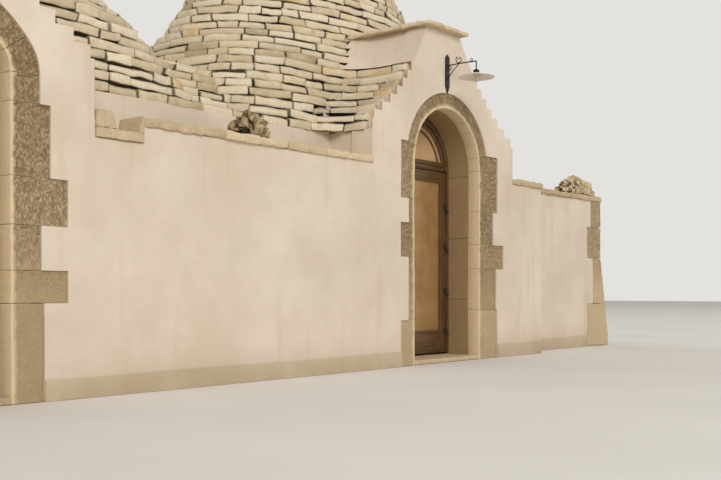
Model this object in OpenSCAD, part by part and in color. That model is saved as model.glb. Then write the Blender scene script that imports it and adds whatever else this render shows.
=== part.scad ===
// Trullo house: a low whitewashed stone house with two gabled portals under two dry-stone roofs.
// Millimetres, +Z up, X along the front, the front faces -Y, Z = 0 is the ground.

/* [House] */
// Distance between the centres of the two portals
portal_gap = 5770; // [5400:10:6200]
// From a portal's centre to the corner where the front steps back
corner_run = 1960; // [1700:10:2200]
// Length of the stepped-back wing at each end
wing_l = 2120; // [1950:10:2300]
// How far the wing's front stands behind the main front
wing_back = 260; // [220:10:290]
// Depth of the house over its front and back walls
house_d = 4100; // [3900:10:4500]
// Thickness of the front and back walls round the rooms
wall_t = 850; // [800:10:950]
// Half the length of a room, from the axis of its roof to its end wall
room_half = 2350; // [2250:10:2400]
// Thickness of the wall between the rooms
middle_t = 700; // [640:10:800]
// Thickness of the floor
floor_t = 60; // [50:5:90]
// Half the width of the arched way between the rooms
way_half = 600; // [520:10:660]
// Springing height of that way
way_spring = 1080; // [1000:10:1150]

/* [Parapet and gutter] */
// Height of the parapet, without its coping
parapet_h = 1970; // [1940:10:2020]
// Thickness of the parapet
parapet_t = 250; // [200:10:300]
// Depth of the gutter below the top of the parapet's plaster
gutter_depth = 70; // [50:5:100]
// Width of the gutter
gutter_w = 300; // [250:10:340]
// Thickness of the coping slabs
coping_t = 75; // [55:5:95]
// How far the coping slabs stand out on each side
coping_over = 30; // [15:5:45]
// Height of the skirting along the foot of the front
skirting_h = 145; // [100:5:180]
// How far the skirting stands proud of the wall
skirting_t = 14; // [8:1:20]
// Length of the stone that holds the gutter's spout
spout_l = 420; // [360:10:480]
// Depth of that stone below the gutter floor
spout_under = 50; // [30:5:80]
// Width of the joints between the straight runs of coping
coping_joint = 6; // [4:1:10]
// Length, width and height of the karst rock on the middle parapet
rock_l = 480; // [400:10:560]
rock_w = 210; // [170:10:250]
rock_h = 220; // [180:10:250]
// Distance of that rock's middle to the left of the right portal
rock_left = 2810; // [2600:10:3000]
// Length, width and height of the rock on the wing
wing_rock_l = 1080; // [950:10:1150]
wing_rock_w = 230; // [190:10:270]
wing_rock_h = 260; // [210:10:290]

/* [Roofs] */
// Height of the eaves, where the stones begin
eave_z = 2300; // [2250:10:2360]
// Height where the curve of a roof would close
roof_top_z = 5500; // [5200:10:5800]
// Half-length of a roof at its eaves
roof_a = 2700; // [2600:10:2750]
// How far the axis of the right roof stands beside its portal
right_roof_shift = 50; // [0:10:100]
// Thickness of a roof's stone shell
shell_t = 300; // [260:10:340]
// Number of courses of stone from the eaves to the capstone
roof_courses = 32; // [28:1:34]
// How full the curve of a roof is, where 1 is a straight cone
roof_bulge = 0.70; // [0.62:0.01:0.80]
// Height of the crest of the stone fill between the roofs
valley_z = 2850; // [2750:10:2900]

/* [Gables] */
// Half-width of a gable between its upright sides
gable_half = 1300; // [1250:10:1340]
// Height of the upright sides
gable_side_z = 2310; // [2280:10:2340]
// Height of a gable's flat top, without its coping
gable_top_z = 3450; // [3350:10:3500]
// Half-width of the flat top
gable_top_half = 290; // [250:10:330]
// Radius of the hollow curve where a gable's flank runs into its roof
flank_sweep = 430; // [300:10:520]
// How far the top leans to the left of the portal's axis
gable_lean = 110; // [0:10:130]
// Thickness of the slab on a gable's top
gable_coping_t = 55; // [45:5:70]
// How far that slab stands out
gable_coping_over = 85; // [60:5:100]

/* [Right portal] */
// Half the clear width of the right doorway
right_half = 600; // [560:5:620]
// Springing height of the right arch
right_spring = 2060; // [2020:10:2080]
// Width of the right stone ring
right_ring = 158; // [140:2:180]

/* [Left portal] */
// Half the clear width of the left doorway
left_half = 630; // [590:5:650]
// Springing height of the left arch
left_spring = 2200; // [2160:10:2240]
// Rise of the left arch, which is lower than half its width
left_rise = 380; // [350:5:410]
// Width of the left stone ring
left_ring = 220; // [200:5:240]

/* [Stone surrounds] */
// Longest reach of a jamb stone beyond its ring
jamb_reach = 340; // [300:10:360]
// Longest reach of a corner stone along a wall
corner_reach = 360; // [320:10:390]
// How far the foot of a corner swells out
batter_out = 100; // [70:10:130]
// Depth of the dressed stones, from the front into the reveal
stone_d = 150; // [120:5:200]
// How far the stone faces lie behind the plaster
stone_set = 12; // [6:1:16]
// Width of the joints cut between the stones
joint_w = 8; // [6:1:12]
// Depth of those joints
joint_d = 10; // [6:1:14]

/* [Doors] */
// Depth of the reveal in front of a door frame
reveal_d = 410; // [380:5:440]
// Depth of the wooden frame
frame_d = 75; // [65:5:90]
// Width of the frame's members
frame_w = 50; // [45:1:60]
// Thickness of the door leaf
leaf_t = 45; // [40:1:50]
// Width of the leaf's stiles and top rail
stile_w = 105; // [90:1:120]
// Height of the leaf's bottom rail
kick_h = 240; // [200:10:300]
// Gap all round the leaf
leaf_gap = 7; // [7:0.5:9]
// Height of the transom bar over the leaf
transom_h = 100; // [80:5:110]
// Thickness of the glass
glass_t = 8; // [6:1:10]
// Radius of the hinge pins
pin_r = 5; // [4:0.5:6]
// Outer radius of the hinge barrels
barrel_r = 9; // [8:0.5:10]
// Height of the handle's lever
handle_z = 1020; // [980:10:1080]

/* [Lamp] */
// Height of the lamp's wall plate
plate_h = 410; // [380:5:440]
// Width of that plate
plate_w = 80; // [70:2:90]
// Height of the lower end of the plate
plate_z = 2810; // [2800:5:2830]
// Distance from the wall to the middle of the shade
lamp_reach = 360; // [320:5:400]
// Radius of the enamelled shade
shade_r = 190; // [170:5:210]

/* [Hidden] */

$fn = 48;

// Places along the front
right_x = portal_gap/2;
left_x = -portal_gap/2;
corner_x = right_x + corner_run;
end_x = corner_x + wing_l;
right_roof_x = right_x + right_roof_shift;
left_roof_x = right_roof_x - 2*roof_a;
valley_x = right_roof_x - roof_a;
right_room_x = right_roof_x + room_half;
left_room_x = left_roof_x - room_half;

// Heights of the gutter
gutter_z = parapet_h - gutter_depth;
spout_z = gutter_z - spout_under;

// Places across the depth, measured from the front face at y = 0
lamp_front = lamp_reach + shade_r;
front_y = -(house_d + coping_over - lamp_front)/2;
axis_y = house_d/2;
eave_y = parapet_t + gutter_w;
roof_b = axis_y - eave_y;
back_room_y = house_d - wall_t;
wing_t = wall_t - wing_back;

// Clearances and overlaps
seat = 0.3;
past = 50;

// Form of the roofs
roof_segments = 48;
course_lap = 1;
course_lead = 0.35;
cap_share = 0.94;
vault_rings = 9;
vault_share = 0.86;
vault_narrow = 0.86;
round_share = 0.35;
outer_square = 4;
inner_square = 12;
cap_z = eave_z + cap_share*(roof_top_z - eave_z);
course_h = (cap_z - eave_z)/roof_courses;
cap_r = 300;
cap_t = 80;
ball_r = 115;
ball_up = 330;
valley_reach = 900;
valley_crest = 0.55*roof_b;
valley_inset = 40;

// Form of the gables
shoulder_x = 0.94*gable_half;
shoulder_z = gable_side_z + 0.154*(gable_top_z - gable_side_z);
side_bend = 0.105*(gable_top_z - gable_side_z);
sweep_x = gable_top_half + 0.485*(shoulder_x - gable_top_half);
sweep_z = shoulder_z + 0.247*(gable_top_z - shoulder_z);
skirt_set = 25;
sweep_steps = 6;
sweep_clear = 10;
sweep_fade = 0.5;
sweep_sink = 45;
saddle_in = 300;
saddle_courses = 8;
step_z = eave_z + saddle_courses*course_h;
arch_steps = 42;

// Blocks up a jamb: top as a share of the springing height, reach as a share of the longest
right_jamb_out = [[0.26, 0.63], [0.48, 0.56], [0.61, 1], [0.786, 0.35], [1, 0.62]];
right_jamb_in = [[0.22, 0.26], [0.527, -0.12], [0.694, 0.27], [0.811, -0.14], [1, 0.26]];
left_jamb_out = [[0.305, 0.09], [0.405, 0.65], [0.543, 0.03], [0.689, 0.65], [0.914, 0.24], [1, 0]];
right_tooth_rise = 180;
left_tooth_rise = 0;

// Blocks up a house corner: top as a share of the parapet height, reaches along the front and the end
corner_blocks = [[0.29, 1, 0.68], [0.605, 0.54, 1], [0.815, 1, 0.62], [1, 0.70, 1]];
battered_blocks = 2;
block_proud = 16;

// Door leaf
leaf_y = reveal_d + leaf_gap;
leaf_half = right_half - frame_w - leaf_gap;
leaf_z0 = floor_t + leaf_gap;
transom_up = 10;
transom_z = right_spring + transom_up;
stop_w = 20;
leaf_z1 = transom_z - leaf_gap;
hinge_x = right_x + right_half - frame_w - leaf_gap/2;
hinge_y = reveal_d - barrel_r - 1.5;
hinge_zs = [290, 730, 1220, 1660];
barrel_h = 46;
running_gap = 0.05;
grip_w = 36;
grip_t = 6;
grip_h = 220;
lever_out = 50;
lever_l = 120;
hinge_plate = 30;
hinge_off = 6;

// Gutter spout beside the left gable
spout_x = left_x + gable_half;
spout_proud = 20;
channel_z = gutter_z + 20;
channel_foot = [0.44*spout_l, 0.89*spout_l];
channel_head = [0.29*spout_l, 0.96*spout_l];

// Lamp
lamp_x = right_x - 40;
arm_z = plate_z + 0.72*plate_h;
shade_z = plate_z + 130;
shade_h = 46;
shade_metal = 4;
plate_t = 8;
bar = 12;
socket_r = 30;
socket_h = 36;
bulb_r = 30;
scroll_r = 40;
scroll_d = 9;

module place() translate([0, front_y, 0]) children();

function quad_curve(p0, p1, p2, n, first = 0) =
    [for (i = [first:n]) let (t = i/n) (1 - t)*(1 - t)*p0 + 2*t*(1 - t)*p1 + t*t*p2];

// Gable outline, x from the portal's axis and z from the ground. Its flanks rise in steps, one to each
// course of stone, as far as step_z, and in a hollow curve above.
function lean_at(z) = -gable_lean*max(0, z - gable_side_z)/(gable_top_z - gable_side_z);
gable_flank = concat(
    quad_curve([gable_half, gable_side_z], [gable_half, gable_side_z + side_bend],
        [shoulder_x, shoulder_z], 4),
    quad_curve([shoulder_x, shoulder_z], [sweep_x, sweep_z], [gable_top_half, gable_top_z], 10, 1));
function half_at(z) = lookup(z, [for (p = gable_flank) [p[1], p[0]]]);
function course_z(i) = eave_z + i*course_h;
function course_half(i) = i == 0 ? gable_half : half_at(course_z(i + 0.5));
function course_lean(i) = i == 0 ? 0 : lean_at(course_z(i + 0.5));
function gable_edge(dir) = concat(
    [for (i = [0:saddle_courses - 1]) let (x = course_lean(i) + dir*course_half(i))
        each [[x, course_z(i)], [x, course_z(i + 1)]]],
    [[lean_at(step_z) + dir*half_at(step_z), step_z]],
    [for (p = gable_flank) if (p[1] > step_z + seat) [lean_at(p[1]) + dir*p[0], p[1]]]);
function gable_outline(z0) = let (right = gable_edge(1), left = gable_edge(-1))
    concat([[-gable_half, z0], [gable_half, z0]], right, [for (i = [len(left) - 1:-1:0]) left[i]]);

// Arch outline above its springing: a half circle, or three arcs that meet smoothly
function haunch(half, rise) = 0.42*rise + 0.12*half;
function crown_drop(half, rise) = let (r = haunch(half, rise), w = half - r, h = rise - r)
    (w*w - h*h)/(2*h);
function arch_curve(half, rise, n) = rise >= half - 1 ?
    [for (i = [0:n]) half*[cos(180*i/n), sin(180*i/n)]] :
    let (r = haunch(half, rise), d = crown_drop(half, rise), big = rise + d,
        turn = atan2(d, half - r), m = ceil(n/3))
    concat([for (i = [0:m - 1]) [half - r, 0] + r*[cos(turn*i/m), sin(turn*i/m)]],
        [for (i = [0:n - 1]) let (a = turn + (180 - 2*turn)*i/n) [0, -d] + big*[cos(a), sin(a)]],
        [for (i = [0:m]) let (a = 180 - turn + turn*i/m) [r - half, 0] + r*[cos(a), sin(a)]]);
function doorway_outline(half, rise, spring, z0) = concat([[-half, z0], [half, z0]],
    [for (p = arch_curve(half, rise, arch_steps)) [p[0], spring + p[1]]]);

// Upright outline in x and z, pushed along y
module along_y(y0, y1) translate([0, y1, 0]) rotate([90, 0, 0]) linear_extrude(y1 - y0) children();

// Upright outline in y and z, pushed along x
module along_x(x0, x1) translate([x0, 0, 0]) rotate([90, 0, 90]) linear_extrude(x1 - x0) children();

module right_way(y0, y1, z0 = -past) translate([right_x, 0, 0]) along_y(y0, y1)
    polygon(doorway_outline(right_half, right_half, right_spring, z0));

module left_way(y0, y1, z0 = -past) translate([left_x, 0, 0]) along_y(y0, y1)
    polygon(doorway_outline(left_half, left_rise, left_spring, z0));

// Outer edge of a stone ring
module right_ring_shape(z0) translate([right_x, 0])
    polygon(doorway_outline(right_half + right_ring, right_half + right_ring, right_spring, z0));
module left_ring_shape(z0) translate([left_x, 0])
    polygon(doorway_outline(left_half + left_ring, left_rise + left_ring, left_spring, z0));

// Blocks of one jamb, as a flat outline on the side that dir names
module jamb_shape(x, dir, half, ring, spring, tooth, blocks) {
    for (i = [0:len(blocks) - 1]) {
        z0 = i == 0 ? 0 : blocks[i - 1][0]*spring;
        z1 = blocks[i][0]*spring + (i == len(blocks) - 1 ? tooth : 0);
        x0 = x + dir*half;
        x1 = x + dir*(half + ring + blocks[i][1]*jamb_reach);
        translate([min(x0, x1), z0]) square([abs(x1 - x0), z1 - z0]);
    }
}
module right_jamb_shapes() {
    jamb_shape(right_x, 1, right_half, right_ring, right_spring, right_tooth_rise, right_jamb_out);
    jamb_shape(right_x, -1, right_half, right_ring, right_spring, right_tooth_rise, right_jamb_in);
}
module left_jamb_shapes() {
    for (dir = [-1, 1])
        jamb_shape(left_x, dir, left_half, left_ring, left_spring, left_tooth_rise, left_jamb_out);
}

// Everything that the walls and gables leave free for the two stone surrounds
module surround_room() along_y(-past, stone_d) {
    right_jamb_shapes();
    left_jamb_shapes();
    right_ring_shape(0);
    left_ring_shape(0);
}

// Wall with a gutter ledge behind its parapet
module parapet_wall(x0, x1, y0, t) along_x(x0, x1)
    polygon([[y0, 0], [y0 + t, 0], [y0 + t, gutter_z], [y0 + parapet_t, gutter_z],
        [y0 + parapet_t, parapet_h], [y0, parapet_h]]);

// Roofs: each ring is a rounded oblong at the eaves that turns into an oval above
function roof_scale(k) = pow(1 - k, roof_bulge);
function side_square(c, side, k) =
    let (n = c*side >= 0 ? outer_square : inner_square) n + (2 - n)*pow(min(1, k/round_share), 0.5);
function ring_point(a, b, n, phi) = let (c = cos(phi), s = sin(phi),
    r = 1/pow(pow(abs(c)/a, n) + pow(abs(s)/b, n), 1/n)) [r*c, r*s];
function outer_ring(k, side) = [for (j = [0:roof_segments - 1]) let (phi = 360*j/roof_segments)
    ring_point(roof_a*roof_scale(k), roof_b*roof_scale(k), side_square(cos(phi), side, k), phi)];
function inner_ring(k) = [for (j = [0:roof_segments - 1])
    ring_point(roof_a*roof_scale(k) - shell_t, roof_b*roof_scale(k) - shell_t, 2,
        360*j/roof_segments)];
function ring_z(k) = eave_z + k*(roof_top_z - eave_z);
function raised(ring, z) = [for (p = ring) [p[0], p[1], z]];
function side_faces(first, rings, flip) = [for (i = [0:rings - 2], j = [0:roof_segments - 1])
    let (a = first + i*roof_segments + j, b = first + i*roof_segments + (j + 1)%roof_segments,
        c = b + roof_segments, d = a + roof_segments)
    each flip ? [[a, c, d], [a, b, c]] : [[a, d, c], [a, c, b]]];
function fan_faces(first, centre, flip) = [for (j = [0:roof_segments - 1])
    let (a = first + j, b = first + (j + 1)%roof_segments) flip ? [centre, a, b] : [centre, b, a]];

function inner_points() = concat(raised(inner_ring(0), eave_z - past),
    [for (i = [0:vault_rings - 1]) let (k = vault_share*i/(vault_rings - 1))
        each raised(inner_ring(k*vault_narrow), ring_z(k) - shell_t*k)]);

// Corbelled courses of a roof up to a height, each a flat ring of stone a little smaller than the last
module course_stack(x, side, top) {
    last = min(roof_courses, ceil((top - eave_z)/course_h)) - 1;
    translate([x, axis_y, eave_z]) for (i = [0:last]) {
        lap = i == 0 ? 0 : course_lap;
        translate([0, 0, i*course_h - lap]) linear_extrude(course_h + lap)
            polygon(outer_ring(cap_share*(i + course_lead)/roof_courses, side));
    }
}

// Vault under the courses, which ends in a small flat ceiling
module vault(x) {
    inner = inner_points();
    n = len(inner);
    translate([x, axis_y, 0]) polyhedron(
        points = concat(inner, [[0, 0, inner[0][2]], [0, 0, inner[n - 1][2]]]),
        faces = concat(side_faces(0, vault_rings + 1, false), fan_faces(0, n, true),
            fan_faces(n - roof_segments, n + 1, false)), convexity = 4);
}

// Band that carries a roof and closes the corners of the room below
module roof_base(x, side) difference() {
    translate([x, axis_y, gutter_z]) linear_extrude(eave_z - gutter_z) difference() {
        polygon(outer_ring(0, side));
        polygon(inner_ring(0));
    }
    right_way(0, axis_y);
    left_way(0, axis_y);
}

// Depth at which a roof's front lies, at a place beside its axis and a height
function roof_front(dx, side, z) = let (k = max(0, z - eave_z)/(roof_top_z - eave_z),
    a = roof_a*roof_scale(k), b = roof_b*roof_scale(k), n = side_square(dx, side, k))
    axis_y - b*pow(max(0, 1 - pow(abs(dx)/a, n)), 1/n);

// One flank of the saddle at a height, from the gable back into the roof, for the side that dir names
function saddle_flank(half, z, r, dir, shift, side) =
    let (edge_x = half + r, back_y = roof_front(dir*edge_x + shift, side, z) + sweep_sink,
        start_y = max(parapet_t + sweep_clear, back_y - flank_sweep))
    concat([[dir*half, parapet_t]],
        [for (i = [0:sweep_steps]) let (a = 90*i/sweep_steps)
            [dir*(edge_x - r*cos(a)), start_y + (back_y - start_y)*sin(a)]],
        [[dir*edge_x, back_y + saddle_in]]);
function saddle_ring(half, z, r, shift, side) = let (lean = lean_at(z),
    right = saddle_flank(half, z, r, 1, shift + lean, side),
    left = saddle_flank(half, z, r, -1, shift + lean, side))
    [for (p = concat(right, [for (i = [len(left) - 1:-1:0]) left[i]])) [p[0] + lean, p[1], z]];

function sweep_at(z) = flank_sweep*(1 - sweep_fade*(z - eave_z)/(gable_top_z - eave_z));
function flat(ring) = [for (p = ring) [p[0], p[1]]];

// Body of the saddle: a straight foot, courses that step in with the gable, and a plastered block on top
module saddle_body(shift, side) {
    translate([0, 0, gutter_z]) linear_extrude(eave_z - gutter_z + course_lap)
        polygon(flat(saddle_ring(gable_half - skirt_set, eave_z, 0, shift, side)));
    for (i = [0:saddle_courses - 1]) {
        lap = i == 0 ? 0 : course_lap;
        translate([0, 0, course_z(i) - lap]) linear_extrude(course_h + lap)
            polygon(flat(saddle_ring(course_half(i) - skirt_set, course_z(i + 0.5),
                sweep_at(course_z(i)), shift, side)));
    }
    saddle_top(shift, side);
}
module saddle_top(shift, side) {
    rings = [for (z = concat([step_z - course_lap], [for (p = gable_flank) if (p[1] > step_z + seat) p[1]]))
        saddle_ring(half_at(z) - skirt_set, z, sweep_at(z), shift, side)];
    m = len(rings[0]);
    n = len(rings);
    mids = [for (ring = [rings[0], rings[n - 1]]) let (back = ring[sweep_steps + 1]) [0, back[1], back[2]]];
    polyhedron(points = concat([for (ring = rings) each ring], mids), faces = concat(
        [for (j = [0:m - 1]) [n*m, j, (j + 1)%m]],
        [for (j = [0:m - 1]) [n*m + 1, (n - 1)*m + (j + 1)%m, (n - 1)*m + j]],
        [for (i = [0:n - 2], j = [0:m - 1]) let (a = i*m + j, b = i*m + (j + 1)%m)
            each [[a, b + m, b], [a, a + m, b + m]]]), convexity = 6);
}

// Stone saddle that runs back from a gable to its roof
module gable_roof(x, roof_x, side) difference() {
    translate([x, 0, 0]) saddle_body(x - roof_x, side);
    course_stack(roof_x, side, gable_top_z);
    translate([x - gable_half - past, eave_y, 0])
        cube([2*gable_half + 2*past, axis_y, eave_z]);
    right_way(0, axis_y);
    left_way(0, axis_y);
}

module gable(x) difference() {
    translate([x, 0, 0]) along_y(0, parapet_t) polygon(gable_outline(parapet_h));
    surround_room();
    right_way(-past, wall_t);
    left_way(-past, wall_t);
}

module floor() place() color("tan") {
    translate([left_room_x, wall_t, 0])
        cube([valley_x - middle_t/2 - left_room_x, back_room_y - wall_t, floor_t]);
    translate([valley_x + middle_t/2, wall_t, 0])
        cube([right_room_x - valley_x - middle_t/2, back_room_y - wall_t, floor_t]);
    translate([valley_x - middle_t/2, axis_y - way_half, 0])
        cube([middle_t, 2*way_half, floor_t]);
}

// Stretch of parapet between two places in plan
module parapet_leaf(x0, x1, y0, y1) translate([min(x0, x1), y0, 0])
    cube([abs(x1 - x0), y1 - y0, parapet_h]);

// Short parapet that turns back from the main front to the wing's front
module corner_return(side) parapet_leaf(side*(corner_x - parapet_t), side*corner_x, 0,
    wing_back + parapet_t);

module front_wall(x0, x1) difference() {
    union() {
        parapet_wall(x0, x1, 0, wall_t);
        for (side = [-1, 1]) if (side*corner_x == x0 || side*corner_x == x1) corner_return(side);
    }
    surround_room();
    spout_room();
}
module front_wall_left() place() color("linen") front_wall(-corner_x, left_x - left_half);
module front_wall_middle() place() color("linen") front_wall(left_x + left_half, right_x - right_half);
module front_wall_right() place() color("linen") front_wall(right_x + right_half, corner_x);

// Wing's front wall, with the parapet turning the outer corner
module wing_body(side) {
    x0 = side > 0 ? corner_x : -end_x;
    parapet_wall(x0, x0 + wing_l, wing_back, wing_t);
    parapet_leaf(side*(end_x - parapet_t), side*end_x, wing_back, wall_t);
}
module wing_wall(side) difference() {
    wing_body(side);
    corner_stack(side, 1);
}
module left_wing_wall() place() color("linen") wing_wall(-1);
module right_wing_wall() place() color("linen") wing_wall(1);

// Solid end wall with a parapet along its outer edge
module end_wall(side) {
    room_x = side > 0 ? right_room_x : left_room_x;
    outer_x = side*end_x;
    translate([min(room_x, outer_x), wall_t, 0])
        cube([abs(outer_x - room_x), back_room_y - wall_t, gutter_z]);
    parapet_leaf(outer_x - side*parapet_t, outer_x, wall_t, back_room_y);
}
module left_end_wall() place() color("linen") end_wall(-1);
module right_end_wall() place() color("linen") end_wall(1);

module back_wall() place() color("linen") difference() {
    translate([0, house_d, 0]) mirror([0, 1, 0]) {
        parapet_wall(-corner_x, corner_x, 0, wall_t);
        for (side = [-1, 1]) {
            corner_return(side);
            wing_body(side);
        }
    }
    for (side = [-1, 1]) corner_stack(side, -1);
}

module middle_wall() place() color("linen") difference() {
    translate([valley_x - middle_t/2, wall_t, 0]) cube([middle_t, back_room_y - wall_t, gutter_z]);
    translate([0, axis_y, 0]) along_x(valley_x - middle_t, valley_x + middle_t)
        polygon(doorway_outline(way_half, way_half, way_spring, -past));
}

module left_gable() place() color("linen") gable(left_x);
module right_gable() place() color("linen") gable(right_x);
module left_gable_roof() place() color("wheat") gable_roof(left_x, left_roof_x, -1);
module right_gable_roof() place() color("wheat") gable_roof(right_x, right_roof_x, 1);

// Slab on a gable's flat top, from the front back to the roof
module gable_coping(x, roof_x, side) difference() {
    translate([x - gable_lean - gable_top_half - gable_coping_over, -gable_coping_over, gable_top_z])
        cube([2*(gable_top_half + gable_coping_over), axis_y, gable_coping_t]);
    course_stack(roof_x, side, gable_top_z + gable_coping_t);
    translate([x - gable_half, axis_y - past, 0]) cube([2*gable_half, axis_y, roof_top_z]);
}
module gable_copings() place() color("burlywood") {
    gable_coping(left_x, left_roof_x, -1);
    gable_coping(right_x, right_roof_x, 1);
}

// Ring of wedge stones with joints cut into its face and its inner side
module right_arch() place() color("burlywood") {
    stones = 13;
    translate([right_x, 0, right_spring]) difference() {
        along_y(stone_set, stone_d) difference() {
            polygon(arch_curve(right_half + right_ring - seat, right_half + right_ring - seat,
                arch_steps));
            polygon(concat([[-right_half, -past], [right_half, -past]],
                arch_curve(right_half, right_half, arch_steps)));
        }
        for (i = [1:stones - 1]) rotate([0, -180*i/stones, 0]) {
            translate([0, stone_set - 1, -joint_w/2]) cube([2*right_half, joint_d + 1, joint_w]);
            translate([right_half - past, stone_set - 1, -joint_w/2])
                cube([past + joint_d, stone_d, joint_w]);
        }
    }
}

module left_arch() place() color("burlywood") {
    stones = 9;
    drop = crown_drop(left_half, left_rise);
    fan = atan2(drop, left_half - haunch(left_half, left_rise));
    translate([left_x, 0, left_spring]) difference() {
        along_y(stone_set, stone_d) difference() {
            polygon(arch_curve(left_half + left_ring - seat, left_rise + left_ring - seat,
                arch_steps));
            polygon(concat([[-left_half, -past], [left_half, -past]],
                arch_curve(left_half, left_rise, arch_steps)));
        }
        for (i = [0:stones]) translate([0, 0, -drop]) rotate([0, -fan - (180 - 2*fan)*i/stones, 0])
            translate([left_rise, stone_set - 1, -joint_w/2])
                cube([2*left_half, joint_d + 1, joint_w]);
    }
}

// Upright stones beside a doorway, their bed joints cut into the face
module right_jambs() place() color("burlywood") difference() {
    along_y(stone_set, stone_d) difference() {
        right_jamb_shapes();
        translate([right_x, right_spring])
            polygon(arch_curve(right_half + right_ring, right_half + right_ring, arch_steps));
    }
    for (b = right_jamb_out) bed_joint(right_x, b[0]*right_spring);
    for (b = right_jamb_in) bed_joint(right_x - right_half - gable_half, b[0]*right_spring);
}
module left_jambs() place() color("burlywood") difference() {
    along_y(stone_set, stone_d) left_jamb_shapes();
    for (b = left_jamb_out) for (x = [left_x - gable_half, left_x])
        bed_joint(x, b[0]*left_spring);
}
module bed_joint(x, z) translate([x, stone_set - 1, z - joint_w/2])
    cube([right_half + gable_half, joint_d + 1, joint_w]);

module thresholds() place() color("burlywood") {
    translate([right_x - right_half, 0, 0]) cube([2*right_half, wall_t, floor_t]);
    translate([left_x - left_half, 0, 0]) cube([2*left_half, wall_t, floor_t]);
}

// Wooden frame with a transom bar and a round head, filling a doorway
module frame_body(half, rise, spring) difference() {
    along_y(reveal_d, reveal_d + frame_d)
        polygon(doorway_outline(half, rise, spring, floor_t));
    along_y(reveal_d - past, reveal_d + frame_d + past)
        translate([-half + frame_w, floor_t - past])
            square([2*(half - frame_w), spring + transom_up - floor_t + past]);
    along_y(reveal_d - past, reveal_d + frame_d + past) intersection() {
        polygon(doorway_outline(half - frame_w, rise - frame_w, spring, 0));
        translate([-half, spring + transom_up + transom_h]) square([2*half, rise]);
    }
}
module door_frame() place() color("sienna") {
    translate([right_x, 0, 0]) frame_body(right_half, right_half, right_spring);
    // Stop behind the leaf, which the closed leaf rests near
    translate([right_x, 0, 0]) along_y(leaf_y + leaf_t + leaf_gap, reveal_d + frame_d)
        difference() {
            translate([-right_half + frame_w, floor_t])
                square([2*(right_half - frame_w), transom_z - floor_t]);
            translate([-right_half + frame_w + stop_w, floor_t - past])
                square([2*(right_half - frame_w - stop_w), transom_z - floor_t + past - stop_w]);
        }
}

module pane(half, rise, spring) along_y(reveal_d + frame_d/2 - glass_t/2,
    reveal_d + frame_d/2 + glass_t/2) intersection() {
    polygon(doorway_outline(half - frame_w - seat, rise - frame_w - seat, spring, 0));
    translate([-half, spring + transom_up + transom_h + seat]) square([2*half, rise]);
}
module fanlight_glass() place() color("lightyellow") translate([right_x, 0, 0])
    pane(right_half, right_half, right_spring);

// Leaf with one tall light over a bottom rail
module leaf_body(half, z0, z1) along_y(leaf_y, leaf_y + leaf_t) difference() {
    translate([-half, z0]) square([2*half, z1 - z0]);
    translate([-half + stile_w, z0 + kick_h])
        square([2*(half - stile_w), z1 - z0 - kick_h - stile_w]);
}
module leaf_glass(half, z0, z1) along_y(leaf_y + leaf_t/2 - glass_t/2, leaf_y + leaf_t/2 + glass_t/2)
    translate([-half + stile_w + seat, z0 + kick_h + seat])
        square([2*(half - stile_w - seat), z1 - z0 - kick_h - stile_w - 2*seat]);

module door_leaf() place() color("peru") translate([right_x, 0, 0])
    leaf_body(leaf_half, leaf_z0, leaf_z1);
module door_glass() place() color("lightyellow") translate([right_x, 0, 0])
    leaf_glass(leaf_half, leaf_z0, leaf_z1);

// Handle: a plate, a neck and a lever on the outside of the leaf
module door_handle() place() color("dimgray")
    translate([right_x - leaf_half + stile_w/2, leaf_y, handle_z]) {
        translate([-grip_w/2, -grip_t, -grip_h/2]) cube([grip_w, grip_t, grip_h]);
        translate([0, -grip_t/2, 0]) rotate([90, 0, 0])
            cylinder(r = 9, h = lever_out, $fn = 32);
        translate([0, -lever_out, 0]) rotate([0, 90, 0]) cylinder(r = 8, h = lever_l, $fn = 32);
    }

// Lift-off hinges: the frame holds a barrel with a pin, the leaf hangs on it by a bored barrel
module frame_hinges() place() color("dimgray") for (z = hinge_zs) {
    translate([hinge_x, hinge_y, z - barrel_h]) cylinder(r = barrel_r, h = barrel_h);
    translate([hinge_x, hinge_y, z - 1]) cylinder(r = pin_r, h = barrel_h - 4);
    translate([hinge_x + hinge_off, hinge_y, z - barrel_h])
        cube([hinge_plate, reveal_d - hinge_y, barrel_h]);
}
module leaf_hinges() place() color("dimgray") for (z = hinge_zs) difference() {
    union() {
        translate([hinge_x, hinge_y, z + seat]) cylinder(r = barrel_r, h = barrel_h);
        translate([hinge_x - hinge_off - hinge_plate, hinge_y, z + seat])
            cube([hinge_plate, leaf_y - hinge_y, barrel_h]);
    }
    translate([hinge_x, hinge_y, z - 1]) cylinder(r = pin_r + running_gap, h = barrel_h + past);
}

// The left door is fixed: it stands far back in its portal
module left_door_frame() place() color("sienna") translate([left_x, 0, 0])
    frame_body(left_half, left_rise, left_spring);
module left_door_leaf() place() color("peru") translate([left_x, 0, 0])
    leaf_body(left_half - frame_w, floor_t, left_spring + transom_up);
module left_door_glass() place() color("lightyellow") translate([left_x, 0, 0]) {
    pane(left_half, left_rise, left_spring);
    leaf_glass(left_half - frame_w, floor_t, left_spring + transom_up);
}

module left_roof_base() place() color("cornsilk") roof_base(left_roof_x, -1);
module right_roof_base() place() color("cornsilk") roof_base(right_roof_x, 1);

module left_roof() place() color("wheat") difference() {
    course_stack(left_roof_x, -1, cap_z);
    vault(left_roof_x);
    left_way(0, axis_y);
}
module right_roof() place() color("wheat") difference() {
    course_stack(right_roof_x, 1, cap_z);
    vault(right_roof_x);
    right_way(0, axis_y);
}

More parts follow.
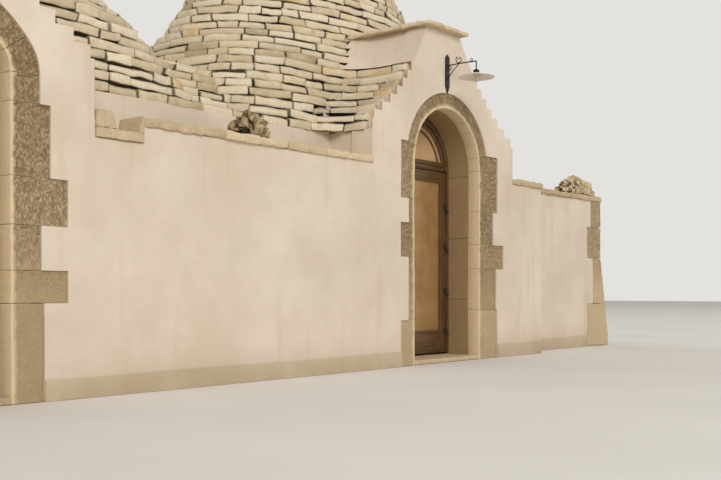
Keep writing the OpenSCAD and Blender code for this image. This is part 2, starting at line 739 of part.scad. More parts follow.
module roof_valley() place() color("wheat") difference() {
    foot = roof_b - valley_inset;
    along_x(valley_x - valley_reach, valley_x + valley_reach) translate([axis_y, 0])
        polygon([[-foot, eave_z], [foot, eave_z], [valley_crest, valley_z], [-valley_crest, valley_z]]);
    course_stack(left_roof_x, -1, valley_z);
    course_stack(right_roof_x, 1, valley_z);
}

// Flat capstone with a plain ball on a short neck
module roof_caps() place() color("gainsboro") for (x = [left_roof_x, right_roof_x])
    translate([x, axis_y, cap_z]) rotate_extrude() polygon(concat([[0, 0], [cap_r, 0],
        [1.03*cap_r, cap_t/2], [0.97*cap_r, cap_t], [cap_r/2, 1.25*cap_t],
        [0.7*ball_r, 0.58*ball_up], [0.65*ball_r, 0.7*ball_up]],
        [for (i = [0:8]) let (a = -50 + 140*i/8) [ball_r*cos(a), ball_up + ball_r*sin(a)]]));

module coping_slab(x0, x1, y0, y1) translate([x0, y0, parapet_h]) cube([x1 - x0, y1 - y0, coping_t]);
// Runs of coping from a gable or the middle to a main corner, round it and round half of the wing
module half_coping(side, near) {
    main_y1 = parapet_t + coping_over;
    wing_y = wing_back - coping_over;
    wing_y1 = wing_back + parapet_t + coping_over;
    corner_in = corner_x - parapet_t - coping_over;
    end_in = end_x - parapet_t - coping_over;
    mirror([side > 0 ? 0 : 1, 0, 0]) {
        coping_slab(near + coping_joint/2, corner_x + coping_over, -coping_over, main_y1);
        coping_slab(corner_in, corner_x + coping_over, main_y1 + coping_joint, min(wing_y1, eave_y));
        coping_slab(corner_x + coping_over + coping_joint, end_x + coping_over, wing_y, wing_y1);
        coping_slab(end_in, end_x + coping_over, wing_y1 + coping_joint, axis_y - coping_joint/2);
    }
}
module parapet_coping() place() color("burlywood") {
    coping_slab(spout_x + spout_l, right_x - gable_half, -coping_over, parapet_t + coping_over);
    for (side = [-1, 1]) {
        half_coping(side, right_x + gable_half);
        translate([0, house_d, 0]) mirror([0, 1, 0]) half_coping(side, 0);
    }
}

// Stone spout at the left end of the middle parapet
module spout_room() translate([spout_x, -past, spout_z])
    cube([spout_l, parapet_t + 2*past, parapet_h]);
module gutter_spout() place() color("burlywood") difference() {
    translate([spout_x, -spout_proud, spout_z])
        cube([spout_l, parapet_t + spout_proud, parapet_h + coping_t - spout_z]);
    translate([spout_x, 0, 0]) along_y(-past, parapet_t + past)
        polygon([[channel_foot[0], channel_z], [channel_foot[1], channel_z],
            [channel_head[1], parapet_h + coping_t + 1], [channel_head[0], parapet_h + coping_t + 1]]);
}

// Weathered karst rocks that stand on the coping as ornaments
module ornament_rocks() place() color("dimgray") {
    z = parapet_h + coping_t;
    translate([right_x - rock_left, parapet_t/2, z]) rock(rock_l, rock_w, rock_h);
    translate([end_x - 0.44*wing_rock_l, wing_back + parapet_t/2, z])
        rock(wing_rock_l, wing_rock_w, wing_rock_h);
}
module rock(l, w, h) hull() {
    translate([-0.42*l, -0.4*w, 0]) cube([0.84*l, 0.8*w, 1]);
    translate([-0.06*l, 0, 0.62*h]) sphere(d = 0.76*h, $fn = 16);
    translate([0.33*l, 0.05*w, 0.46*h]) sphere(d = 0.66*h, $fn = 16);
    translate([-0.42*l, 0, 0.26*h]) sphere(d = 0.4*h, $fn = 16);
}

// Corner blocks of the wing, for the corner at side and, with face = -1, at the back
module corner_stack(side, face) {
    y0 = face > 0 ? wing_back : house_d - wing_back;
    for (i = [0:len(corner_blocks) - 1]) {
        z0 = i == 0 ? 0 : corner_blocks[i - 1][0]*parapet_h;
        z1 = corner_blocks[i][0]*parapet_h;
        corner_block(side, face, y0, corner_blocks[i][1]*corner_reach, corner_blocks[i][2]*corner_reach,
            z0, z1);
    }
}
module corner_block(side, face, y0, along, depth, z0, z1) {
    x_out = side*(end_x + block_proud);
    x_in = side*(end_x - along);
    y_out = y0 - face*block_proud;
    y_in = y0 + face*depth;
    translate([min(x_out, x_in), min(y_out, y_in), z0])
        cube([abs(x_out - x_in), abs(y_out - y_in), z1 - z0]);
}
// Lowest blocks swell outwards to the ground
function corner_plan(out) =
    let (along = corner_reach*min([for (i = [0:battered_blocks - 1]) corner_blocks[i][1]]),
        depth = corner_reach*min([for (i = [0:battered_blocks - 1]) corner_blocks[i][2]]))
    [[-along, block_proud], [out, out], [block_proud, -depth], [-along, -depth]];
module corner_foot(side, face) {
    y0 = face > 0 ? wing_back : house_d - wing_back;
    z1 = corner_blocks[battered_blocks - 1][0]*parapet_h;
    translate([side*end_x, y0, 0]) mirror([side > 0 ? 0 : 1, 0, 0]) mirror([0, face > 0 ? 1 : 0, 0])
        hull() {
            linear_extrude(1) polygon(corner_plan(batter_out));
            translate([0, 0, z1 - 1]) linear_extrude(1) polygon(corner_plan(block_proud));
        }
}
module quoins(side) for (face = [-1, 1]) {
    corner_stack(side, face);
    corner_foot(side, face);
}
module left_quoins() place() color("burlywood") quoins(-1);
module right_quoins() place() color("burlywood") quoins(1);

// Low skirting along the front, between the stone surrounds and the corners
module skirting() place() color("tan") {
    left_edge = left_half + left_ring + left_jamb_out[0][1]*jamb_reach;
    foot(-corner_x, left_x - left_edge, 0);
    foot(left_x + left_edge, right_x - right_half - right_ring - right_jamb_in[0][1]*jamb_reach, 0);
    foot(right_x + right_half + right_ring + right_jamb_out[0][1]*jamb_reach, corner_x, 0);
    corner_w = corner_blocks[0][1]*corner_reach;
    for (side = [-1, 1]) {
        x0 = side > 0 ? corner_x : -end_x + corner_w;
        foot(x0, x0 + wing_l - corner_w, wing_back);
    }
}
module foot(x0, x1, y) translate([x0, y - skirting_t, 0]) cube([x1 - x0, skirting_t, skirting_h]);

// Wall lamp: a plate, an arm with a scroll and two braces, over the right portal
module lamp_bracket() place() color("black") translate([lamp_x, 0, 0]) {
    half = plate_w/2;
    top = plate_z + plate_h;
    along_y(-plate_t, 0) polygon([[0, plate_z], [half, plate_z + plate_w], [half, top - half],
        [0, top], [-half, top - half], [-half, plate_z + plate_w]]);
    translate([0, -plate_t/2, arm_z]) rotate([90, 0, 0])
        cylinder(d = bar, h = lamp_reach - plate_t/2 + bar/2);
    translate([0, -lamp_reach, shade_z + shade_h]) {
        cylinder(d = bar, h = arm_z - shade_z - shade_h);
        cylinder(r = socket_r, h = socket_h);
    }
    // Scroll that stands on the arm
    translate([0, -0.42*lamp_reach, arm_z + scroll_r + scroll_d/2]) rotate([0, 90, 0]) rotate_extrude()
        translate([scroll_r, 0]) circle(d = scroll_d, $fn = 16);
    // Brace under the arm
    hull() {
        translate([0, -plate_t, plate_z + 0.36*plate_h]) sphere(d = scroll_d, $fn = 12);
        translate([0, -0.4*lamp_reach, arm_z]) sphere(d = scroll_d, $fn = 12);
    }
}
module lamp_shade() place() color("whitesmoke") translate([lamp_x, -lamp_reach, shade_z])
    rotate_extrude($fn = 64) polygon([[0, shade_h], [socket_r + 4, shade_h], [2*socket_r, 30],
        [0.62*shade_r, 16], [shade_r, 0], [shade_r, -shade_metal + 1], [0.6*shade_r, 12],
        [2*socket_r - 4, 26], [socket_r + 2, shade_h - shade_metal], [0, shade_h - shade_metal]]);
module lamp_bulb() place() color("lemonchiffon") translate([lamp_x, -lamp_reach, shade_z])
    rotate_extrude() polygon(concat([[0, shade_h - shade_metal - seat],
        [bulb_r/2, shade_h - shade_metal - seat], [bulb_r/2, 20]],
        [for (i = [0:10]) let (a = 50 - 140*i/10) bulb_r*[cos(a), sin(a) - 0.67]]));

floor();
front_wall_left();
front_wall_middle();
front_wall_right();
left_wing_wall();
right_wing_wall();
back_wall();
left_end_wall();
right_end_wall();
middle_wall();
left_gable();
right_gable();
left_gable_roof();
right_gable_roof();
gable_copings();
left_arch();
right_arch();
left_jambs();
right_jambs();
thresholds();
door_frame();
fanlight_glass();
frame_hinges();
door_leaf();
door_glass();
door_handle();
leaf_hinges();
left_door_frame();
left_door_leaf();
left_door_glass();
left_roof_base();
right_roof_base();
left_roof();
right_roof();
roof_valley();
roof_caps();
parapet_coping();
gutter_spout();
ornament_rocks();
left_quoins();
right_quoins();
skirting();
lamp_bracket();
lamp_shade();
lamp_bulb();
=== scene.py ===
"""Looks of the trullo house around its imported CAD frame. Metres, +Z up, the front faces -Y."""

import functools
import itertools
import math

import bmesh
import bpy
import numpy as np
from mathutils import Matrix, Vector
from mathutils.bvhtree import BVHTree


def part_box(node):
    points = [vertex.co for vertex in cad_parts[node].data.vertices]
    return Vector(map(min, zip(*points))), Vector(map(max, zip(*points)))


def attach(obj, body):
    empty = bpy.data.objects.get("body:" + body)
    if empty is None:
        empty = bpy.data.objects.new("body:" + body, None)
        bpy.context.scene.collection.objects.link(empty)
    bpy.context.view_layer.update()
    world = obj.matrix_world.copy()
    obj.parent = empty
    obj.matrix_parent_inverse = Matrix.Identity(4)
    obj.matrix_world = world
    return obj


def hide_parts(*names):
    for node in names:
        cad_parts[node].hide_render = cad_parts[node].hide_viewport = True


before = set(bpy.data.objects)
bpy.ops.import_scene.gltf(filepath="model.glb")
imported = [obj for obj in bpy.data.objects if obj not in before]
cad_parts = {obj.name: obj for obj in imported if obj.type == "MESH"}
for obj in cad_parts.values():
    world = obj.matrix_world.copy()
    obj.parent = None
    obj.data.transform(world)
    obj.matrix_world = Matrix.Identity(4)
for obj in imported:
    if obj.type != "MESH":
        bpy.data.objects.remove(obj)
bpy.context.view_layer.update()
RNG = np.random.default_rng(11)


def middle(node):
    """Centre of a CAD node's box."""
    lo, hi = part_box(node)
    return (lo + hi) / 2


# Places taken from the frame, and sizes repeated from the part's source
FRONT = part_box("front_wall_middle")[0].y
PARAPET_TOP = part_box("parapet_coping")[0].z
RIGHT_X = middle("right_arch").x
LEFT_X = middle("left_arch").x
RIGHT_ROOF = middle("right_roof")
LEFT_ROOF = middle("left_roof")
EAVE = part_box("right_roof")[0].z
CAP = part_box("right_roof")[1].z
RIGHT_HALF, RIGHT_SPRING, RIGHT_RING = 0.600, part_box("right_arch")[0].z, 0.158
LEFT_HALF, LEFT_SPRING, LEFT_RISE, LEFT_RING = 0.630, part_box("left_arch")[0].z, 0.380, 0.220
JAMB_REACH, STONE_SET, STONE_D = 0.340, 0.012, 0.150
# Blocks of each jamb: the top as a share of the spring's height, and the reach past the ring, of JAMB_REACH
OUTER_JAMB = [(0.26, 0.63), (0.48, 0.56), (0.61, 1), (0.786, 0.35), (1, 0.62)]
INNER_JAMB = [(0.22, 0.26), (0.527, -0.12), (0.694, 0.27), (0.811, -0.14), (1, 0.26)]
LEFT_JAMB = [(0.305, 0.09), (0.405, 0.65), (0.543, 0.03), (0.689, 0.65), (0.914, 0.24), (1, 0)]
TOOTH = 0.180
SKIN = 0.055          # plaster in front of the stones in a gable's edge
WORN = (0.55, 1.30)   # heights between which the pecking fades towards the ground
REVEAL, FRAME_D, FRAME_W = 0.410, 0.075, 0.050
COURSES, SADDLE_COURSES = 32, 8
COURSE = (CAP - EAVE) / COURSES
WELD = 2e-5
STONES_TOP = EAVE + SADDLE_COURSES * COURSE
PORTALS = ((RIGHT_X, RIGHT_HALF, RIGHT_HALF, RIGHT_RING, RIGHT_SPRING),
           (LEFT_X, LEFT_HALF, LEFT_RISE, LEFT_RING, LEFT_SPRING))


# Noise and small solids
def lattice_random(i, j, k, seed):
    """A number from 0 to 1 that looks random, the same each time for a point of the lattice."""
    h = (i * 374761393 + j * 668265263 + k * 1442695041 + seed * 974634777) & 0xFFFFFFFF
    h = ((h ^ (h >> 13)) * 1274126177) & 0xFFFFFFFF
    h = ((h ^ (h >> 16)) * 2246822519) & 0xFFFFFFFF
    return (h ^ (h >> 15)).astype(float) / 0xFFFFFFFF


def noise(p, scale, seed=0):
    """Smooth value noise from -1 to 1 at points p."""
    q = np.asarray(p) / scale
    cell = np.floor(q).astype(np.int64)
    f = q - cell
    f = f * f * (3 - 2 * f)
    total = 0
    for corner in itertools.product((0, 1), repeat=3):
        a, b, c = np.where(corner, f, 1 - f).T
        total = total + a * b * c * lattice_random(*(cell + corner).T, seed)
    return 2 * total - 1


def noise3(p, scale, seed=0):
    """Smooth noise in three directions."""
    return np.stack([noise(p, scale, seed + 31 * k) for k in range(3)], 1)


def warp(p):
    """The slow unevenness of hand-laid masonry, the same for every piece so that they stay together."""
    calm = np.ones(len(p))
    deep = p[:, 1] - FRONT
    for x in (RIGHT_X, LEFT_X):
        doorway = np.clip((1.05 - np.abs(p[:, 0] - x)) / 0.30, 0, 1) * np.clip((3.15 - p[:, 2]) / 0.40, 0, 1)
        doorway *= np.clip((deep - 0.16) / 0.15, 0, 1) * np.clip((1.20 - deep) / 0.30, 0, 1)
        calm = np.minimum(calm, 1 - doorway)
    grounded = np.clip(p[:, 2] / 0.15, 0, 1)
    move = noise3(p, 0.75, 90) * 0.006 + noise3(p, 0.28, 70) * 0.0022
    move[:, 2] *= grounded
    return p + move * calm[:, None]


@functools.lru_cache(maxsize=None)
def lattice(*cells):
    """Points on the surface of a lattice, as indices, and its quads facing outwards."""
    ids, quads = {}, []
    for axis in (2, 1, 0):
        u, v = (k for k in range(3) if k != axis)
        for i, j, end in itertools.product(range(cells[u]), range(cells[v]), (0, cells[axis])):
            turned, quad = (axis == 1) != (end > 0), []
            for a, b in ((0, 0), (turned, not turned), (1, 1), (not turned, turned)):
                key = [end] * 3
                key[u], key[v] = i + a, j + b
                quad.append(ids.setdefault(tuple(key), len(ids)))
            quads.append(quad)
    return np.array(list(ids)), np.array(quads)


def block(size, r, cells):
    """A block with rounded edges, centred, as points and quads."""
    index, quads = lattice(*cells)
    q = min(r, 0.45 * min(size))
    axes = [np.concatenate([[0], np.linspace(q, s - q, n - 1), [s]]) - s / 2 if n > 2
            else np.linspace(-s / 2, s / 2, n + 1) for s, n in zip(size, cells)]
    p = np.stack([axes[a][index[:, a]] for a in range(3)], 1)
    half = np.array(size) / 2 - q
    core = np.clip(p, -half, half)
    d = p - core
    length = np.linalg.norm(d, axis=1, keepdims=True)
    return core + d / np.maximum(length, 1e-9) * q * (length > 1e-9), quads


def cells_of(size, cell, least=3, most=60):
    """How many cells of about the given size go along each side of a block."""
    return tuple(int(np.clip(round(s / c), least, most)) for s, c in zip(size, np.broadcast_to(cell, 3)))


class Pile:
    """Gathers small closed solids into one mesh, with a tone for each, and marks of dressed faces and of
    painted shade.
    """

    def __init__(self):
        self.points, self.quads, self.count = [], [], 0
        self.marks = {"tone": [], "rub_and_shade": [], "groove": [], "rough": [], "shift": []}

    def add(self, points, quads, tone=0.5, rub_and_shade=0.0, rough=0.0, groove=0.0):
        """Takes in one solid and turns its faces outwards."""
        n = len(points)
        a, b, c, d = (points[quads[:, i]] - points.mean(0) for i in (0, 1, 2, -1))
        if (np.cross(a, b) * c).sum() + (np.cross(a, c) * d).sum() < 0:
            quads = quads[:, ::-1]
        self.points.append(points)
        self.quads.append(quads + self.count)
        for key, value in (("tone", tone), ("rub_and_shade", rub_and_shade), ("groove", groove), ("rough", rough)):
            self.marks[key].append(np.broadcast_to(value, n))
        self.marks["shift"].append(np.tile(RNG.uniform(-40, 40, 3), (n, 1)))
        self.count += n

    def slab(self, lo, hi, r, cell, tone=0.5, rough=0.0, most=60):
        """Adds a block between two corners, cut into cells of about the given size."""
        lo, hi = np.array(lo), np.array(hi)
        p, quads = block(hi - lo, r, cells_of(hi - lo, cell, most=most))
        self.add(p + (lo + hi) / 2, quads, tone, 0, rough)

    def piece(self, name, material, body="house", nodes=(), slot=None, warped=True, scale=0.08, angle=38,
              weld=False):
        """Makes the mesh. Each solid's faces are uneven by its roughness, in lumps of about the scale."""
        p = np.concatenate(self.points)
        quads = np.concatenate(self.quads)
        marks = {key: np.concatenate(values) for key, values in self.marks.items()}
        if marks["rough"].any():
            q = p + marks["shift"]
            p = p + marks["rough"][:, None] * (noise3(q, scale, 5) + 0.5 * noise3(q, scale * 0.36, 9))
        if warped:
            p = warp(p)
        p[:, 2] = np.maximum(p[:, 2], 0)
        mesh = bpy.data.meshes.new(name)
        mesh.from_pydata(p, (), quads)
        for key in ("tone", "rub_and_shade", "groove"):
            values = mesh.attributes.new(key, "FLOAT", "POINT").data
            values.foreach_set("value", marks[key].astype(np.float32))
        if weld:
            bm = bmesh.new()
            bm.from_mesh(mesh)
            bmesh.ops.remove_doubles(bm, verts=bm.verts, dist=WELD)
            bm.to_mesh(mesh)
            bm.free()
        return finished(name, mesh, [material], body, nodes, angle)


def finished(name, mesh, materials, body, nodes, angle):
    """The object of a mesh, riding on its body and standing for its CAD nodes."""
    for m in materials:
        mesh.materials.append(m)
    mesh.shade_smooth()
    mesh.set_sharp_from_angle(angle=math.radians(angle))
    obj = bpy.data.objects.new(name, mesh)
    bpy.context.scene.collection.objects.link(obj)
    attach(obj, body)
    if nodes:
        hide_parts(*nodes)
    return obj


def tone():
    """A stone's own lightness, mostly near the middle of 0 to 1."""
    return float(RNG.beta(2.2, 2.2))


# Materials
def linear(r, g, b):
    """Scene-linear colour of a display colour from 0 to 255."""
    return [((c / 255 + 0.055) / 1.055) ** 2.4 if c > 10 else c / 255 / 12.92 for c in (r, g, b)] + [1]


class Nodes:
    """A shader's node tree, written as nested calls."""

    def __init__(self, tree):
        self.tree = tree

    def set(self, node, key, value):
        if isinstance(value, bpy.types.NodeSocket):
            self.tree.links.new(value, node.inputs[key])
        else:
            node.inputs[key].default_value = value

    def node(self, kind, inputs, output, **fields):
        """Adds a node, fills in its fields and inputs, and gives one of its outputs."""
        node = self.tree.nodes.new("ShaderNode" + kind)
        for key, value in fields.items():
            setattr(node, key, value)
        for key, value in inputs.items():
            self.set(node, key, value)
        return node.outputs[output]

    def math(self, kind, a, b):
        return self.node("Math", {0: a, 1: b}, 0, operation=kind)

    def times(self, a, b):
        return self.math("MULTIPLY", a, b)


class Finish(Nodes):
    """A procedural material on object coordinates."""

    def __init__(self, name, roughness=0.9, **sockets):
        self.material = bpy.data.materials.new(name)
        self.material.use_nodes = True
        super().__init__(self.material.node_tree)
        self.shader = self.tree.nodes["Principled BSDF"]
        self.set(self.shader, "Roughness", roughness)
        for key, value in sockets.items():
            self.set(self.shader, key.replace("_", " "), value)
        self.place = self.node("TexCoord", {}, "Object")
        self.normal = None

    def stretched(self, x, y, z):
        return self.node("Mapping", {"Vector": self.place, "Scale": (x, y, z)}, "Vector")

    def noise(self, scale, detail=3, rough=0.55, distortion=0.0, place=None):
        return self.node("TexNoise", {"Vector": place or self.place, "Scale": scale, "Detail": detail,
                                      "Roughness": rough, "Distortion": distortion}, "Fac")

    def pits(self, scale):
        return self.node("TexVoronoi", {"Vector": self.place, "Scale": scale}, "Distance")

    def attribute(self, name):
        return self.node("Attribute", {}, "Fac", attribute_name=name)

    def height(self):
        return self.node("SeparateXYZ", {0: self.place}, "Z")

    def height_share(self, low, high):
        """0 below low and 1 above high, in metres above the ground."""
        return self.node("MapRange", {"Value": self.height(), "From Min": low, "From Max": high}, 0)

    def ramp(self, fac, *stops):
        """Runs through stops, each a place and a colour or plain value."""
        result = self.node("ValToRGB", {"Fac": fac}, "Color")
        elements = result.node.color_ramp.elements
        while len(elements) < len(stops):
            elements.new(0.5)
        for element, (at, colour) in zip(elements, stops):
            element.position = at
        for element, (at, colour) in zip(elements, stops):
            element.color = linear(*colour) if isinstance(colour, tuple) else [colour] * 3 + [1]
        return result

    def mix(self, fac, a, b, kind="MIX"):
        a, b = (v if isinstance(v, bpy.types.NodeSocket) else linear(*v) for v in (a, b))
        return self.node("Mix", {0: fac, 6: a, 7: b}, 2, data_type="RGBA", blend_type=kind)

    def bump(self, height, distance, strength=1.0):
        """Lays a relief over the ones before it."""
        inputs = {"Strength": strength, "Distance": distance, "Height": height}
        if self.normal:
            inputs["Normal"] = self.normal
        self.normal = self.node("Bump", inputs, "Normal")
        self.set(self.shader, "Normal", self.normal)
        return self

    def colour(self, value):
        self.set(self.shader, "Base Color", value)
        return self


def plaster(name, light, dark, foot):
    """Uneven limewash with faint streaks, dirty near the ground."""
    f = Finish(name, 0.92, Specular_IOR_Level=0.2)
    base = f.mix(f.ramp(f.noise(1.3, 4, 0.6), (0.35, 0.0), (0.68, 1.0)), dark, light)
    base = f.mix(f.ramp(f.noise(7, 5, 0.65), (0.45, 0.0), (0.75, 0.35)), base, dark)
    darkening = f.times(f.math("SUBTRACT", 1.0, f.height_share(0.0, 0.34)), f.noise(3.4, 5, 0.7))
    base = f.mix(f.times(darkening, 0.8), base, foot)
    streak = f.ramp(f.noise(5, 3, 0.6, place=f.stretched(1, 1, 0.12)), (0.56, 0.0), (0.78, 0.28))
    f.colour(f.mix(streak, base, foot))
    f.bump(f.noise(3.2, 4, 0.6), 0.012, 0.55).bump(f.noise(26, 4, 0.6), 0.0022, 0.6)
    return f.bump(f.noise(160, 2, 0.6), 0.0005, 0.6).material


def stone(name, colours, patch, grain, depth, pitted=0.0, smooth=None, lichen=None, painted_shade=None, carved=0.0,
          beds=0.0, spread=0.42):
    """Limestone: colours from dark to light by tone and patches, then grain, pits, pecking darkened as
    painted shade in its hollows, and joints.

    smooth is the colour of the smooth dressing and limewash, and the last colour is painted shade in joints
    and holes, both brought in by the rub mark; beds is the height of the reveals' courses."""
    f = Finish(name, 0.93, Specular_IOR_Level=0.18)
    rub_and_shade = f.attribute("rub_and_shade")
    patches = f.math("ADD", f.times(f.noise(patch, 5, 0.65), spread), 0.21 - spread / 2)
    mixed = f.math("ADD", f.times(f.attribute("tone"), 0.62), patches)
    base = f.ramp(mixed, *((0.18 + 0.64 * i / (len(colours) - 1), c) for i, c in enumerate(colours)))
    base = f.mix(0.75, base, f.ramp(f.noise(grain, 4, 0.7), (0.3, 0.70), (0.62, 1.0)), "MULTIPLY")
    if lichen:
        base = f.mix(f.ramp(f.noise(6.5, 6, 0.72), (0.60, 0.0), (0.70, 0.5)), base, lichen)
    # Pick marks: their relief is real, and they are darkened brown as painted shade in their hollows, fading
    # out near the ground with the pecking.
    if carved:
        pecked_hollows = f.ramp(f.noise(carved, 4, 0.66, 0.7, place=f.stretched(1, 1, 0.7)), (0.38, 0.8), (0.54, 0.0))
        pecked_hollows = f.times(pecked_hollows, f.math("SUBTRACT", 1.0, rub_and_shade))
        pecked_hollows = f.times(pecked_hollows, f.math("MAXIMUM", f.height_share(*WORN), 0.15))
        groove = f.math("ADD", f.times(f.attribute("groove"), 0.55), pecked_hollows)
        base = f.mix(0.5, base, f.ramp(groove, (0.05, (255, 255, 255)), (0.95, (158, 130, 100))), "MULTIPLY")
    if beds:
        wave = f.math("PINGPONG", f.math("ADD", f.height(), f.times(f.noise(3, 2), 0.05)), beds)
        base = f.mix(0.6, base, f.ramp(f.math("DIVIDE", wave, beds), (0.0, 0.35), (0.035, 1.0)), "MULTIPLY")
    # The smooth colour of dressed margins and limewash, then the painted shade of joints and holes.
    for share, colour in ((0.85, smooth), (0.9, painted_shade)):
        if colour:
            base = f.mix(f.times(rub_and_shade, share), base, colour)
    f.colour(base)
    f.bump(f.noise(grain * 0.3, 4, 0.7), depth * 2.2, 0.8).bump(f.noise(grain, 4, 0.75), depth, 0.8)
    if carved:
        f.bump(pecked_hollows, -0.008, 0.9)
    if pitted:
        f.bump(f.ramp(f.pits(pitted), (0.0, 0.0), (0.34, 1.0)), depth * 1.6, 0.5)
    return f.material


def wood(name, dark, mid, light, along=(1, 1, 0.05)):
    """Oiled oak, with its grain drawn out the way that the boards run."""
    f = Finish(name, 0.48)
    place = f.stretched(*along)
    grain = f.noise(46, 5, 0.62, 0.5, place=place)
    rings = f.noise(9, 3, 0.5, 1.4, place=place)
    base = f.ramp(grain, (0.32, dark), (0.52, mid), (0.74, light))
    base = f.mix(f.ramp(rings, (0.35, 0.0), (0.7, 0.6)), base, mid)
    f.colour(f.mix(f.ramp(f.noise(2.4, 3), (0.5, 0.0), (0.8, 0.3)), base, dark))
    f.set(f.shader, "Roughness", f.ramp(grain, (0.3, 0.42), (0.8, 0.6)))
    return f.bump(grain, 0.0009, 0.7).bump(f.noise(330, 2, place=place), 0.0003, 0.5).material


def simple(name, dark, light, scale, roughness, depth, **sockets):
    """Iron, enamel, glass or rubble: two mottled colours and a fine relief."""
    f = Finish(name, roughness, **sockets)
    f.colour(f.ramp(f.noise(scale, 4, 0.65), (0.35, dark), (0.68, light)))
    return f.bump(f.noise(scale * 4, 3), depth, 0.6).material


PLASTER = plaster("limewash_plaster", (229, 215, 199), (214, 199, 179), (180, 160, 134))
SKIRT = plaster("skirting_plaster", (214, 198, 174), (196, 178, 152), (160, 138, 108))
LIMEWASH = plaster("interior_limewash", (222, 214, 200), (205, 195, 178), (190, 176, 154))
ROOF_TONES = (184, 164, 130), (214, 197, 165), (231, 216, 188), (241, 228, 203), (226, 198, 150)
# The last colour is painted shade in the roof stones' joints, along their rims and on their ledges.
ROOF_STONE = stone("roof_limestone", ROOF_TONES, 9, 70, 0.0020, lichen=(168, 152, 124), painted_shade=(52, 43, 32))
DRESSED = stone("dressed_limestone", [(172, 149, 115), (190, 167, 133), (208, 187, 153)], 8, 90, 0.0024, 60,
                (228, 207, 170), carved=58)
# The doorways' sides: a darker tan than the dressed stone, partly the lining stone's own colour and partly
# painted shade, with dark bed joints.
SHADED_REVEAL_STONE = stone("reveal_limestone_shaded", [(164, 136, 98), (182, 154, 114), (196, 168, 128)], 5, 70, 0.0014,
                     beds=0.34)
SLAB = stone("slab_stone", [(182, 160, 128), (210, 188, 154), (230, 210, 176)], 7, 60, 0.0024, 38,
             (226, 211, 188), (148, 130, 102), spread=0.7)
# The last colour is painted shade, brought into the rocks' holes.
KARST = stone("karst_stone", [(74, 60, 42), (136, 114, 82), (204, 184, 146), (232, 216, 180)], 13, 70, 0.005,
              30, painted_shade=(34, 27, 19), spread=1.3)
# Rubble behind the stones, dark as painted shade deep in their joints.
JOINT_SHADOW = simple("joint_shadow_rubble", (46, 38, 28), (84, 70, 52), 30, 0.97, 0.004)
PAVING = stone("floor_stone", [(168, 152, 124), (190, 174, 146), (206, 192, 166)], 6, 60, 0.0008)
OAK_TONES = (62, 42, 22), (96, 69, 39), (124, 93, 56)
OAK = wood("door_oak", *OAK_TONES)
OAK_RAIL = wood("door_oak_rails", *OAK_TONES, along=(0.05, 1, 1))
IRON = simple("wrought_iron", (24, 21, 18), (44, 38, 32), 60, 0.55, 0.0008, Metallic=0.7)
ENAMEL = simple("white_enamel", (222, 214, 200), (238, 232, 220), 22, 0.28, 0.0003, Coat_Weight=0.4,
                Coat_Roughness=0.12)
HINGE = simple("hinge_iron", (46, 35, 22), (66, 50, 32), 60, 0.6, 0.0006, Metallic=0.1)
GLASS = simple("amber_glass", (164, 126, 76), (190, 150, 98), 3, 0.16, 0.0002, Transmission_Weight=0.25)
LIGHT_GLASS = simple("fanlight_tan_glass", (226, 184, 136), (240, 202, 156), 3, 0.16, 0.0002,
                     Transmission_Weight=0.25)
BULB = simple("frosted_bulb_glass", (236, 226, 204), (246, 240, 226), 30, 0.35, 0.0001,
              Transmission_Weight=0.3)


# Copies of CAD nodes with softened edges
def tree_of(node):
    """A CAD node's faces, to be met by rays."""
    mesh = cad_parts[node].data
    return BVHTree.FromPolygons([v.co for v in mesh.vertices], [p.vertices for p in mesh.polygons])


def inside(tree, p):
    """True for a point below the surface that is nearest to it."""
    found, normal = tree.find_nearest(p)[:2]
    return found is not None and (p - found).dot(normal) < -1e-6


def is_seam(edge, trees):
    """True where another solid carries on one of the edge's two faces."""
    a, b = (f.normal for f in edge.link_faces)
    mid = (edge.verts[0].co + edge.verts[1].co) / 2
    probes = (mid + 0.004 * a - 0.004 * b, mid + 0.004 * b - 0.004 * a)
    return any(inside(t, p) for t in trees for p in probes)


def cut(bm, axis, at):
    """Cuts all faces along a plane across one axis."""
    n = Vector((0, 0, 0))
    n[axis] = 1
    bmesh.ops.bisect_plane(bm, geom=bm.verts[:] + bm.edges[:] + bm.faces[:], dist=1e-5,
                           plane_co=n * at, plane_no=n)


def copy_of(node):
    """A CAD node's mesh with its corners welded and its flat faces whole again."""
    bm = bmesh.new()
    bm.from_mesh(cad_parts[node].data)
    bmesh.ops.remove_doubles(bm, verts=bm.verts[:], dist=WELD)
    bmesh.ops.dissolve_limit(bm, angle_limit=math.radians(0.6), verts=bm.verts[:], edges=bm.edges[:])
    return bm


def bevel(bm, width, segments, trees=(), keep=lambda e: True):
    """Rounds the outer edges that are worth it, but none where another solid carries the face on."""
    edges = [e for e in bm.edges if len(e.link_faces) == 2 and e.is_convex and e.calc_face_angle(0) > 0.5
             and keep(e) and not is_seam(e, trees)]
    if edges:
        bmesh.ops.bevel(bm, geom=edges, offset=width, offset_type="OFFSET", segments=segments, profile=0.5,
                        affect="EDGES", clamp_overlap=True)


def grid(bm):
    """Cuts the faces small enough to take up the walls' unevenness."""
    co = np.array([v.co for v in bm.verts])
    for axis in range(3):
        lo, hi = co[:, axis].min(), co[:, axis].max()
        for at in np.arange(math.ceil((lo + 0.02) / CELL) * CELL, hi - 0.02, CELL):
            cut(bm, axis, at)


